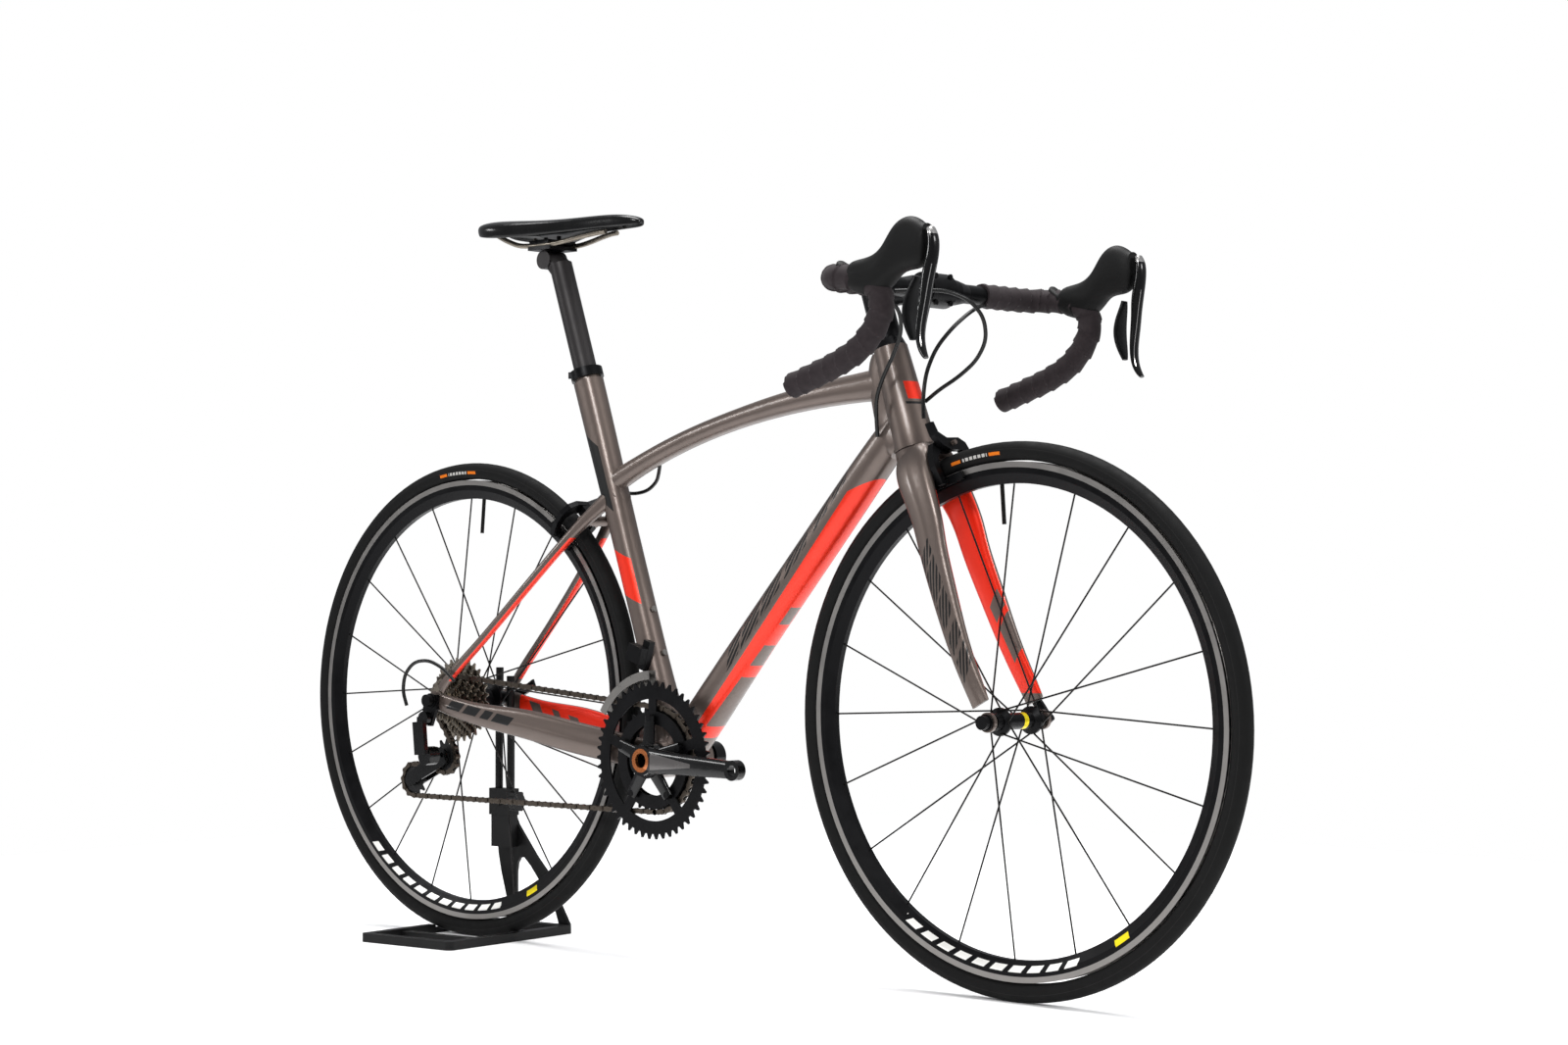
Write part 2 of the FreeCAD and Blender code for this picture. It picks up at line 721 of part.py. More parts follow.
def saddleClamp():
    base = block(44, 52, 5, spot(165, 0, 955.6) + Vector(0, 0, 5))
    lid = block(38, 52, 5, spot(165, 0, 955.6) + Vector(0, 0, 13.6))
    grooves = [cylinder(3.55, 60, spot(135, y, railZ + 3), (1, 0, 0)) for y in (-22, 22)]
    bolts = [cylinder(3, 6, spot(x, 0, 972), (0, 0, 1)) for x in (152, 178)]
    keep("saddle_clamp", group(cut(fuse(base, lid), fuse(*grooves)), *bolts))


railSide = [
    spot(92, 35, 982), spot(104, 32, 975), spot(124, 25, 966), spot(146, 22, 965), spot(196, 22, 965),
    spot(220, 20, 968), spot(246, 16, 972), spot(268, 12, 974.6), spot(282, 11, 975.2),
]


def saddle():
    rail = swept(railSide, 3.5, name="saddle rail")
    keep("saddle_rails", made(bothSides(rail)))
    # x from the rear axle, half width, height of the top, depth of the side
    stations = [(60, 38, 999, 22), (74, 60, 1001, 30), (100, 68, 1002, 38), (135, 64, 999, 40),
                (175, 46, 996.5, 32), (215, 30, 997, 24), (255, 22.5, 998, 20), (295, 19, 998, 18),
                (322, 16, 996, 15), (336, 8, 992, 9)]
    cover = Part.makeLoft([saddleSection(*station) for station in stations], True, False)
    keep("saddle_cover", made(cover.cut(saddleHollow(stations))))
    keep("saddle_shell", made(saddleShell(stations)))


def saddleSection(x, half, top, drop):
    corners = [(0, top), (half * 0.5, top - 1.5), (half * 0.85, top - 0.2 * drop),
               (half, top - 0.55 * drop), (half * 0.97, top - drop), (half * 0.6, top - drop * 0.75),
               (0, top - drop * 0.68)]
    ring = [spot(x, y, z) for y, z in corners]
    ring += [spot(x, -y, z) for y, z in corners[-2:0:-1]]
    curve = Part.BSplineCurve()
    curve.interpolate(ring, PeriodicFlag=True)
    return Part.Wire(curve.toShape())


# A bowed sheet under the crown, inset from the sides, with the given thickness.
def nested(stations, inset, top, thickness):
    wires = []
    for x, half, height, drop in stations:
        crown = height - top
        wide = half - inset
        upper = [(0, crown), (wide * 0.6, crown - 0.06 * drop), (wide, crown - 0.25 * drop)]
        ring = [spot(x, y, z) for y, z in upper]
        ring += [spot(x, y, z - thickness) for y, z in reversed(upper)]
        ring += [Vector(p.x, -p.y, p.z) for p in ring[-2:0:-1]]
        wires.append(Part.makePolygon(ring + ring[:1]))
    return Part.makeLoft(wires, True, True)


def saddleHollow(stations):
    return nested(stations[1:-1], 6, 9, 60)


def saddleShell(stations):
    return nested(stations[2:-2], 8.5, 9.8, 3.6)


# ---- brakes ---------------------------------------------------------------------------------

# A caliper arm in the brake's own plane: across is towards the pad's side, and the second
# number runs down from the bolt. tail is the arm's cable end, over on the right-hand side.
def brakeArm(label, brake, side, start, thickness, tail, flip):
    across = leftward * side
    outline = [(-8, -7), (14, -8), (26, -2), (33, 12), (33, 28), (29, 42), (26.5, 50), (18.5, 50),
               (20, 41), (24, 27), (23, 16), (15, 8), (-6, 8)] + tail
    base = brake["pivot"] + brake["out"] * start
    corners = [base + across * y + brake["down"] * d for y, d in outline]
    face = Part.Face(Part.makePolygon(corners + corners[:1]))
    arm = face.extrude(brake["out"] * thickness)
    hole = Part.makeCylinder(3.05, 60, base - brake["out"] * 20, brake["out"])
    arm = arm.cut(hole)
    middle = brake["pivot"] + brake["out"] * 8 + across * 14.3 + brake["down"] * 46.5
    pad = Part.makeBox(50, 5, 10, Vector(-25, -2.5, -5))
    lengthwise = Rotation(brake["out"], leftward, brake["down"] * -1, "XYZ")
    pad.Placement = Placement(middle, lengthwise)
    post = Part.makeCylinder(3, 3, middle + across * 2.5, across)
    solids = [arm.cut(pad), pad, post.cut(arm)]
    if flip:
        solids = [mirrored(solid) for solid in solids]
    keep(label, made(Part.makeCompound(solids)))


def calipers():
    barrelTail = [(-20, 2), (-31, -10), (-34, -26), (-26, -27), (-22, -14)]
    brakeArm("front_brake_arm_left", frontBrake, 1, 10.5, 8, barrelTail, False)
    brakeArm("front_brake_arm_right", frontBrake, -1, 1, 8.5, [], False)
    brakeArm("rear_brake_arm_right", rearBrake, 1, 10.5, 8, barrelTail, True)
    brakeArm("rear_brake_arm_left", rearBrake, -1, 1, 8.5, [], True)


# ---- drivetrain -----------------------------------------------------------------------------

def pitchRadius(teeth):
    return size("pitch") / (2 * math.sin(math.pi / teeth))


# The chain's loop in the plane of the small ring: centre, teeth, and which way it wraps.
def chainWheels():
    return [
        (Vector(size("bracketX"), 0, size("bracketZ")), int(size("smallRingTeeth")), 1),
        (Vector(0, 0, size("tyreRadius")), int(size("driveCogTeeth")), 1),
        (Vector(size("upperPulleyX"), 0, size("upperPulleyZ")), int(size("pulleyTeeth")), -1),
        (Vector(size("lowerPulleyX"), 0, size("lowerPulleyZ")), int(size("pulleyTeeth")), 1),
    ]


# Tangent runs between neighbouring wheels. offset widens or narrows the whole loop.
def chainRuns(offset=0.0):
    wheels = chainWheels()
    runs = []
    for index, (centre, teeth, sign) in enumerate(wheels):
        following, nextTeeth, nextSign = wheels[(index + 1) % len(wheels)]
        radius = pitchRadius(teeth) + sign * offset
        nextRadius = pitchRadius(nextTeeth) + nextSign * offset
        span = following - centre
        angle = math.atan2(span.z, span.x) - math.asin((nextSign * nextRadius - sign * radius) / span.Length)
        normal = Vector(-math.sin(angle), 0, math.cos(angle))
        runs.append((centre - normal * sign * radius, following - normal * nextSign * nextRadius))
    return runs


def angleOf(point, centre):
    return math.atan2(point.z - centre.z, point.x - centre.x)


# How far the loop turns round each wheel, in radians, with the wheel's own sign.
def wraps(runs):
    turns = []
    for index, (centre, teeth, sign) in enumerate(chainWheels()):
        arrive, leave = runs[index - 1][1], runs[index][0]
        turn = (angleOf(leave, centre) - angleOf(arrive, centre)) * sign % (2 * math.pi)
        turns.append((angleOf(arrive, centre), turn))
    return turns


def loopWire(offset):
    runs = chainRuns(offset)
    edges = []
    for index, (centre, teeth, sign) in enumerate(chainWheels()):
        start, turn = wraps(runs)[index]
        arrive, leave = runs[index - 1][1], runs[index][0]
        radius = (arrive - centre).Length
        half = start + sign * turn / 2
        middle = centre + Vector(math.cos(half), 0, math.sin(half)) * radius
        edges.append(Part.Arc(arrive, middle, leave).toShape())
        edges.append(Part.LineSegment(leave, runs[index][1]).toShape())
    return Part.Wire(edges)


# Chain pins: on a wheel they stand one tooth apart, and the straight runs share the rest.
def chainPins():
    runs = chainRuns()
    turns = wraps(runs)
    wheels = chainWheels()
    arcPitches = [turn * wheels[i][1] / (2 * math.pi) for i, (start, turn) in enumerate(turns)]
    straight = sum((b - a).Length for a, b in runs)
    count = round(sum(arcPitches) + straight / size("pitch"))
    runPitch = straight / (count - sum(arcPitches))
    pins, phases = [], []
    travelled = 0.0
    for index, (centre, teeth, sign) in enumerate(wheels):
        step = 2 * math.pi / teeth
        start, turn = turns[index]
        first = math.ceil(travelled - 1e-9) - travelled
        radius = pitchRadius(teeth)
        phases.append(start + sign * first * step)
        while first <= arcPitches[index]:
            angle = start + sign * first * step
            pins.append(centre + Vector(math.cos(angle), 0, math.sin(angle)) * radius)
            first += 1
        travelled += arcPitches[index]
        leave, arrive = runs[index]
        length = (arrive - leave).Length
        first = math.ceil(travelled - 1e-9) - travelled
        while first * runPitch < length - 1e-9:
            pins.append(leave + (arrive - leave).normalize() * (first * runPitch))
            first += 1
        travelled += length / runPitch
    print("chain", count, "links, pins", len(pins), "pitch on the runs", round(runPitch, 3))
    return pins, phases


# A toothed plate about a centre in the XZ plane, with a gap standing at the phase angle.
def sprocket(teeth, phase, centre, y, thickness, bore, tip=3.0, root=3.9):
    radius = pitchRadius(teeth)
    corners = []
    for index in range(teeth):
        gap = phase + 2 * math.pi * index / teeth
        half = math.pi / teeth
        for reach, swing in ((radius - root, -2.2 / radius), (radius - root, 2.2 / radius),
                             (radius + tip, half - 1.1 / radius), (radius + tip, half + 1.1 / radius)):
            angle = gap + swing
            corners.append(Vector(math.cos(angle) * reach, 0, math.sin(angle) * reach))
    plate = Part.Face(Part.makePolygon(corners + corners[:1])).extrude(leftward * thickness)
    plate = plate.cut(Part.makeCylinder(bore, thickness + 2, leftward * -1, leftward))
    plate.translate(centre + leftward * (y - thickness / 2))
    return plate


def inFrame(point, y=0.0):
    return spot(point.x, y, point.z)


def chain(pins):
    y = -size("chainY")
    band = Part.Face([loopWire(3.4)]).cut(Part.Face([loopWire(-3.4)]))
    plates = []
    for start in (-2.6, 1.6):
        plate = band.extrude(leftward * 1.0)
        plate.translate(spot(0, y + start, 0))
        plates.append(plate)
    rollers = [Part.makeCylinder(2.9, 3.2, inFrame(pin, y - 1.6), leftward) for pin in pins]
    keep("chain", made(Part.makeCompound(plates + rollers)))


cogTeeth = [12, 13, 14, 15, 17, 19, 21, 23, 25, 28]


def cassette(phase):
    axis = rearHub
    step = size("cogSpacing")
    drive = cogTeeth.index(int(size("driveCogTeeth")))
    cogs = []
    for index, teeth in enumerate(cogTeeth):
        y = -size("chainY") + (index - drive) * step
        cogs.append(sprocket(teeth, phase, axis, y, 1.7, 19.6, tip=2.6))
    body = tube("19.5", "axleRadius + 0.08", 40, axis - leftward * 60.5, alongY)
    ring = tube("17", "axleRadius + 3", 2, axis - leftward * 62.6, alongY)
    keep("cassette", group(made(Part.makeCompound(cogs)), body, ring))


def crankArm(side, near, far, angle, spindle):
    centre = bracket
    direction = Vector(math.cos(angle), 0, -math.sin(angle))
    length = size("crankLength")
    run = [(centre - direction * 3 + leftward * side * near, 9, 19),
           (centre + direction * 40 + leftward * side * (near + 4), 7.5, 15.5),
           (centre + direction * (length - 25) + leftward * side * (far - 1), 6.5, 12),
           (centre + direction * (length + 8) + leftward * side * far, 6.5, 11)]
    arm = lofted(run, power=3)
    boss = Part.makeCylinder(20, 18, centre + leftward * side * (near - 9), leftward * side)
    end = Part.makeCylinder(13, 13, centre + direction * length + leftward * side * (far - 6.5), leftward * side)
    arm = arm.multiFuse([boss, end])
    hole = Part.makeCylinder(7.1, 20, centre + direction * length + leftward * side * (far - 10), leftward * side)
    arm = arm.cut(hole)
    if spindle:
        return arm
    return arm.cut(Part.makeCylinder(12.04, 60, centre + leftward * side * 30, leftward * side))


ringBolts = [math.radians(90 + 72 * index) for index in range(5)]


def crankset(phase):
    angle = math.radians(1.7)
    right = crankArm(-1, 62, 74, angle, True)
    spindle = Part.makeCylinder(12, 142, bracket - leftward * 71, leftward)
    spindle = spindle.cut(Part.makeCylinder(9.5, 144, bracket - leftward * 72, leftward))
    fingers = []
    for bolt in ringBolts:
        out = Vector(math.cos(bolt), 0, math.sin(bolt))
        reach = [(bracket + out * 10 + leftward * -56, 11, 3.5), (bracket + out * 58 + leftward * -53.2, 8, 3)]
        wires = [section(c, out, side, depth, 3, out.cross(leftward)) for c, side, depth in reach]
        fingers.append(Part.makeLoft(wires, True, True))
    right = right.multiFuse(fingers + [Part.makeCylinder(24, 9, bracket - leftward * 60, leftward)])
    right = right.cut(Part.makeCylinder(11, 146, bracket - leftward * 73, leftward)).fuse(spindle)
    bolts = [Vector(math.cos(bolt), 0, math.sin(bolt)) * 55 for bolt in ringBolts]
    clear = [Part.makeCylinder(4.55, 20, bracket + out - leftward * 58, leftward) for out in bolts]
    keep("right_crank", made(right.cut(Part.makeCompound(clear))))
    left = crankArm(1, 62, 74, math.pi + angle, False)
    keep("left_crank", made(left))
    small = sprocket(int(size("smallRingTeeth")), phase, bracket, -size("chainY"), 2.2, 47)
    big = sprocket(int(size("bigRingTeeth")), phase, bracket, -size("bigRingY"), 2.4, 47)
    window = Part.makeCylinder(80, 10, bracket - leftward * (size("bigRingY") + 5), leftward)
    window = window.cut(Part.makeCylinder(64, 12, bracket - leftward * (size("bigRingY") + 6), leftward))
    bars = [Part.makeBox(40, 12, 14, Vector(60, -6, -7)) for bolt in ringBolts]
    for bar, bolt in zip(bars, ringBolts):
        bar.Placement = Placement(bracket - leftward * size("bigRingY"), Rotation(leftward, -math.degrees(bolt)))
    big = big.cut(window.cut(Part.makeCompound(bars)))
    rings = [one.cut(Part.makeCompound([Part.makeCylinder(4.55, 20, bracket + out - leftward * 55, leftward)
                                        for out in bolts])) for one in (small, big)]
    pieces = [made(Part.makeCompound(rings))]
    for out in bolts:
        pieces.append(fuse(cylinder(4.5, 17, bracket + out - leftward * 56.6, alongY),
                           cylinder(6.5, 1.8, bracket + out - leftward * 40, alongY)))
        pieces.append(tube(7, 4.55, 4.2, bracket + out - leftward * 46.7, alongY))
    keep("chainrings", group(*pieces))


hangerBolt = spot(-9, -70, 309)
knuckle = spot(-6, -66, 257)


def rearDerailleur(phases):
    corners = [(-13, 8), (12, 8), (10, -12), (-1, -36), (-17, -36), (-19, -14)]
    outline = [spot(x, -70.8, size("tyreRadius") + z) for x, z in corners]
    plate = Part.Face(Part.makePolygon(outline + outline[:1])).extrude(leftward * -5)
    plate = plate.cut(Part.makeCylinder(3, 20, rearHub - leftward * 80, leftward))
    keep("derailleur_hanger", made(plate))
    base = hangerBolt - leftward * 6.1
    keep("rear_derailleur_bracket", fuse(
        cylinder(10, 8, base - leftward * 8, alongY),
        block(14, 6, 20, base + Vector(-6, -4.6, -8))))
    arm = block(22, 7, 46, spot(-9, -88.2, 282), Rotation(leftward, -6))
    keep("rear_derailleur_link", arm)
    keep("rear_derailleur_knuckle", fuse(
        cylinder(13, 18, knuckle - leftward * 17.8, alongY),
        cylinder(3.5, 8, knuckle - leftward * 0.5, alongY)))
    upper = spot(size("upperPulleyX"), -size("chainY"), size("upperPulleyZ"))
    lower = spot(size("lowerPulleyX"), -size("chainY"), size("lowerPulleyZ"))
    run = (lower - upper)
    direction = Vector(run).normalize()
    across = direction.cross(leftward)
    plates = []
    for y, thickness in ((8.2, 2.0), (-10.2, 2.0)):
        shape = Part.makeCylinder(13, thickness, upper + leftward * y, leftward)
        end = Part.makeCylinder(9, thickness, lower + leftward * y, leftward)
        corners = [upper + across * 13, lower + across * 9, lower - across * 9, upper - across * 13]
        corners = [c + leftward * y for c in corners]
        web = Part.Face(Part.makePolygon(corners + corners[:1])).extrude(leftward * thickness)
        plates.append(shape.multiFuse([end, web]))
    pinRadius = 2.5
    pins = [Part.makeCylinder(pinRadius, 18.4, centre + leftward * -10.2, leftward) for centre in (upper, lower)]
    cage = plates[0].multiFuse(plates[1:] + pins)
    cage = cage.cut(Part.makeCylinder(3.58, 40, knuckle - leftward * 20, leftward))
    keep("rear_derailleur_cage", made(cage))
    for name, centre, phase in (("upper_pulley", upper, phases[2]), ("lower_pulley", lower, phases[3])):
        wheel = sprocket(int(size("pulleyTeeth")), phase, centre, 0, 2.2, pinRadius + 0.06)
        core = Part.makeCylinder(9, 7, centre - leftward * 3.5, leftward)
        core = core.cut(Part.makeCylinder(pinRadius + 0.06, 9, centre - leftward * 4.5, leftward))
        keep(name, made(wheel.fuse(core)))


def arcPlate(inner, outer, start, end, y, thickness):
    ring = Part.makeCylinder(outer, thickness, bracket + leftward * y, leftward)
    ring = ring.cut(Part.makeCylinder(inner, thickness + 2, bracket + leftward * (y - 1), leftward))
    reach = outer * 2
    mid = (start + end) / 2
    corners = [Vector(0, 0, 0)]
    for angle in (start, mid, end):
        corners.append(Vector(math.cos(math.radians(angle)), 0, math.sin(math.radians(angle))) * reach)
    corners = [bracket + leftward * (y - 1) + c for c in corners]
    wedge = Part.Face(Part.makePolygon(corners + corners[:1])).extrude(leftward * (thickness + 2))
    return ring.common(wedge)


def frontDerailleur(frontOuter):
    outerPlate = arcPlate(105.5, 117, 94, 148, -48.2, 1.4)
    innerPlate = arcPlate(98, 117, 94, 148, -36.2, 1.4)
    top = arcPlate(115, 117, 100, 125, -48.2, 13.4)
    keep("front_derailleur_cage", made(outerPlate.multiFuse([innerPlate, top])))
    axis = alongSeat(403)
    mount = block(12, 10, 40, axis + Vector(9, -23, 0), Rotation(leftward, 18))
    body = block(26, 14, 22, axis + Vector(2, -33, 2), Rotation(leftward, 18))
    room = arcPlate(90, 126, 80, 160, -50.2, 18)
    keep("front_derailleur_bracket", cut(fuse(mount, body), made(room.fuse(frontOuter))))


# ---- cables ---------------------------------------------------------------------------------

cableRadius = 2.5
frontBrakeRoute = [
    spot(858, 88, 844), spot(868, 66, 842), spot(872, 40, 832), spot(868, 12, 812),
    spot(860, -10, 786), spot(856, -24, 756), spot(856, -30, 726), spot(857.5, -30.5, 699),
]
leftLoop = [
    spot(860, -88, 850), spot(880, -62, 852), spot(896, -30, 852), spot(906, 0, 842),
    spot(908, 24, 822), spot(902, 36, 796), spot(884, 39, 772), spot(858, 36, 753),
    spot(832, 30, 738), spot(814, 25, 724),
]
rightLoop = [
    spot(852, -88, 842), spot(852, -68, 826), spot(842, -54, 804), spot(824, -47, 778),
    spot(803, -42, 753), spot(788, -38, 728), spot(782, -31, 702), spot(778, -24, 680),
]
rearBrakeRoute = [
    spot(372, 4, 664), spot(362, 12, 650), spot(346, 24, 636), spot(322, 31, 624),
    spot(296, 33, 620), spot(272, 33, 622), spot(249, 31, 627),
]
derailleurLoop = [
    spot(46, -73, 362), spot(26, -77, 380), spot(0, -81, 391), spot(-28, -84, 388),
    spot(-48, -84, 370), spot(-53, -83, 346), spot(-48, -80, 326),
]


def cables(frontOuter):
    housing = swept(frontBrakeRoute, cableRadius, name="front brake cable")
    keep("front_brake_cable", made(housing))
    loops = [swept(leftLoop, cableRadius, name="left shift cable"),
             swept(rightLoop, cableRadius, name="right shift cable")]
    keep("shift_cables", made(Part.makeCompound(loops).cut(frontOuter)))
    rear = [swept(rearBrakeRoute, cableRadius, name="rear brake cable").cut(frontOuter),
            swept(derailleurLoop, cableRadius, name="rear derailleur cable")]
    keep("rear_cables", made(Part.makeCompound(rear)))


# ---- stand ----------------------------------------------------------------------------------

# The base is a rectangle of rounded bar, turned a few degrees from the bicycle. place() gives a
# point from its middle, along its short side, its long side and up.
standMiddle = spot(15.5, -20.5, 0)
standTurn = Rotation(Vector(0, 0, 1), 5.0)
armAcross = 11.5
armX, armY = -35.7, 114


def place(x, y, z):
    return standMiddle + standTurn.multVec(Vector(x, y, z))


def standBase():
    bar = size("standBar")

    def rounded(length, width, radius, low, high):
        box = Part.makeBox(length, width, high - low, Vector(-length / 2, -width / 2, low))
        corners = [edge for edge in box.Edges if abs(edge.Length - (high - low)) < 0.001]
        return box.makeFillet(radius, corners)
    frame = rounded(173, 253, 9, 0, bar).cut(rounded(145, 225, 4, -1, bar + 1))
    cross = [Part.makeBox(150, 14, bar - 3, Vector(-75, y - 7, 0)) for y in (-52, 52)]
    frame = frame.multiFuse(cross)
    frame.Placement = Placement(standMiddle, standTurn)
    scallop = Part.makeCylinder(size("tyreRadius") + 1.2, 34, rearHub - leftward * 17, leftward)
    keep("stand_base", made(frame.cut(scallop)))


# The leg plate stands on the base's far bar and forks round an arch.
def standLeg():
    outline = [(-16, 12.2), (-30, 12.2), (-36, 35), (-49, 80), (-55, 108), (-57, 134), (-57, 160),
               (-22, 160), (-17, 150), (18, 107), (42, 82), (66, 38), (82, 12.2), (62, 12.2), (54, 35),
               (33, 62), (8, 92), (-4, 103), (-12, 103), (-18, 94), (-20, 80), (-20, 52)]
    corners = [place(x, 121, z) for x, z in outline]
    face = Part.Face(Part.makePolygon(corners + corners[:1]))
    keep("stand_leg_plate", made(face.extrude(standTurn.multVec(leftward) * 5)))


def standClamp():
    head = Part.makeBox(42, 17.8, 38, Vector(armX - 21, 103, 164))
    sleeve = Part.makeBox(37, 15.8, 48, Vector(armX - 18.5, 105, 118))
    body = head.fuse(sleeve)
    for side in (-armAcross, armAcross):
        bore = Part.makeCylinder(size("armRadius") + 0.08, 90, Vector(armX + side, armY, 121))
        body = body.cut(bore)
    stud = Part.makeCylinder(3.05, 6, Vector(armX + 15.6, 108, 184), Vector(1, 0, 0))
    body = body.cut(stud)
    bolt = Part.makeCylinder(4.6, 3, Vector(armX - 2, 103, 182), Vector(0, -1, 0))
    both = Part.makeCompound([body, bolt])
    both.Placement = Placement(standMiddle, standTurn)
    keep("stand_clamp_block", made(both))
    knob = Part.makeCylinder(13, 10, Vector(armX + 23, 108, 184), Vector(1, 0, 0))
    grips = [Part.makeCylinder(3.4, 10, Vector(armX + 23, 108 + 12 * math.cos(a), 184 + 12 * math.sin(a)),
                               Vector(1, 0, 0)) for a in [math.pi * k / 3 for k in range(6)]]
    shank = Part.makeCylinder(3, 7.4, Vector(armX + 16.6, 108, 184), Vector(1, 0, 0))
    knob = knob.multiFuse(grips + [shank])
    knob.Placement = Placement(standMiddle, standTurn)
    keep("stand_knob", made(knob))


# Two rods slide in the clamp. The front one hooks under the left chainstay and the rear one
# stands behind the dropout.
def standArms():
    front = place(armX + armAcross, armY, 0)
    rear = place(armX - armAcross, armY, 0)
    inner = spot(21, 54, 0)
    behind = spot(-26, 76, 0)
    radius = size("armRadius")
    frontRoute = [
        front + up * 170, front + up * 284, front * 0.72 + inner * 0.28 + up * 300,
        front * 0.25 + inner * 0.75 + up * 301, inner + up * 316, inner + up * 366,
    ]
    rearRoute = [rear + up * 170, rear + up * 300, behind + up * 334, behind + up * 377]
    rods = []
    for route, start in ((frontRoute, front), (rearRoute, rear)):
        rod = swept(route, radius, name="stand arm")
        tail = Part.makeCylinder(radius, 6.5, start + up * 164)
        rods.append(rod.fuse(tail))
    keep("stand_arms", made(Part.makeCompound(rods)))


# ---- the whole ------------------------------------------------------------------------------

def build():
    wheels()
    frontOuter = frontTriangle()
    chainstayOuter = chainstays(frontOuter)
    seatstays(frontOuter, chainstayOuter)
    frameFittings()
    print("frame made")
    fork()
    stemAndSpacers()
    hoods(bars())
    levers()
    seatpost()
    saddleClamp()
    saddle()
    print("cockpit and saddle made")
    calipers()
    pins, phases = chainPins()
    chain(pins)
    cassette(phases[1])
    crankset(phases[0])
    rearDerailleur(phases)
    frontDerailleur(frontOuter)
    cables(frontOuter)
    print("drivetrain, brakes and cables made")
    standBase()
    standLeg()
    standClamp()
    standArms()
    doc.recompute()


def checkAndWrite():
    faults = [one.Name for one in doc.Objects if "Invalid" in one.State or "Error" in one.State]
    if faults:
        raise RuntimeError("failed objects: " + ", ".join(faults))
    for piece in nodes:
        if piece.Shape.isNull() or not piece.Shape.isValid() or piece.Shape.Volume <= 0:
            raise RuntimeError("bad shape: " + piece.Label)
    os.makedirs("parts", exist_ok=True)
    for piece in nodes:
        piece.Shape.exportStep("parts/" + piece.Label + ".step")
    print(len(nodes), "parts written")


build()
checkAndWrite()
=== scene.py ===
import bpy
import bmesh
import math
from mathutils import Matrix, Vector


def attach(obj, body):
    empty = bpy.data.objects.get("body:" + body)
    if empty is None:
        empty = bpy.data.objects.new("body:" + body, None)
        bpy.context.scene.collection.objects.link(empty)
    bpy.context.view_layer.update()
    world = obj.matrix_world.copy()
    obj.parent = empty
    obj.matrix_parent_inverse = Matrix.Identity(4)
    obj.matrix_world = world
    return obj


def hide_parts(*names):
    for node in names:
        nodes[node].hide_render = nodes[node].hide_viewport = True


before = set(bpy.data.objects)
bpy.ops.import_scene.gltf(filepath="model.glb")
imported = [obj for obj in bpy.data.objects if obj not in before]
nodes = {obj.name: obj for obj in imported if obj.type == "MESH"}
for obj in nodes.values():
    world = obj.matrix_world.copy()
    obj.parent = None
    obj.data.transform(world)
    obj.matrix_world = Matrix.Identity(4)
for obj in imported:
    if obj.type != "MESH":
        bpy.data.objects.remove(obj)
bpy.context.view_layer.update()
millimetre = 0.001
rearAxleBack = 487  # paint and spots measure x from the rear axle, this far behind the origin, in mm

view = {
    "place": (2.641, -2.767, 0.502),
    "turn": (91.14, 0.0, 42.422),  # degrees
    "lens": 67.12,
    "sensor": 36.0,
}


def makeCamera():
    data = bpy.data.cameras.new("camera")
    data.lens = view["lens"]
    data.sensor_width = view["sensor"]
    data.sensor_fit = "HORIZONTAL"
    data.clip_start = 0.05
    camera = bpy.data.objects.new("camera", data)
    camera.location = view["place"]
    camera.rotation_euler = [math.radians(angle) for angle in view["turn"]]
    bpy.context.scene.collection.objects.link(camera)
    bpy.context.scene.camera = camera


def toLinear(code):
    # sRGB hex to linear colour
    shares = [int(code[place:place + 2], 16) / 255 for place in (1, 3, 5)]
    bright = [s / 12.92 if s <= 0.04045 else ((s + 0.055) / 1.055) ** 2.4 for s in shares]
    return tuple(bright) + (1.0,)


def addNode(tree, kind, links=None, **settings):
    node = tree.nodes.new(kind)
    for name, value in settings.items():
        setattr(node, name, value)
    for key, value in (links or {}).items():
        if isinstance(value, bpy.types.NodeSocket):
            tree.links.new(value, node.inputs[key])
        else:
            node.inputs[key].default_value = value
    return node


def calc(tree, operation, first, second=0.0, third=0.0):
    node = addNode(tree, "ShaderNodeMath", {0: first, 1: second, 2: third}, operation=operation)
    return node.outputs[0]


def mixColour(tree, share, first, second):
    node = addNode(tree, "ShaderNodeMix", {0: share, 6: first, 7: second}, data_type="RGBA")
    return node.outputs[2]


materials = {}


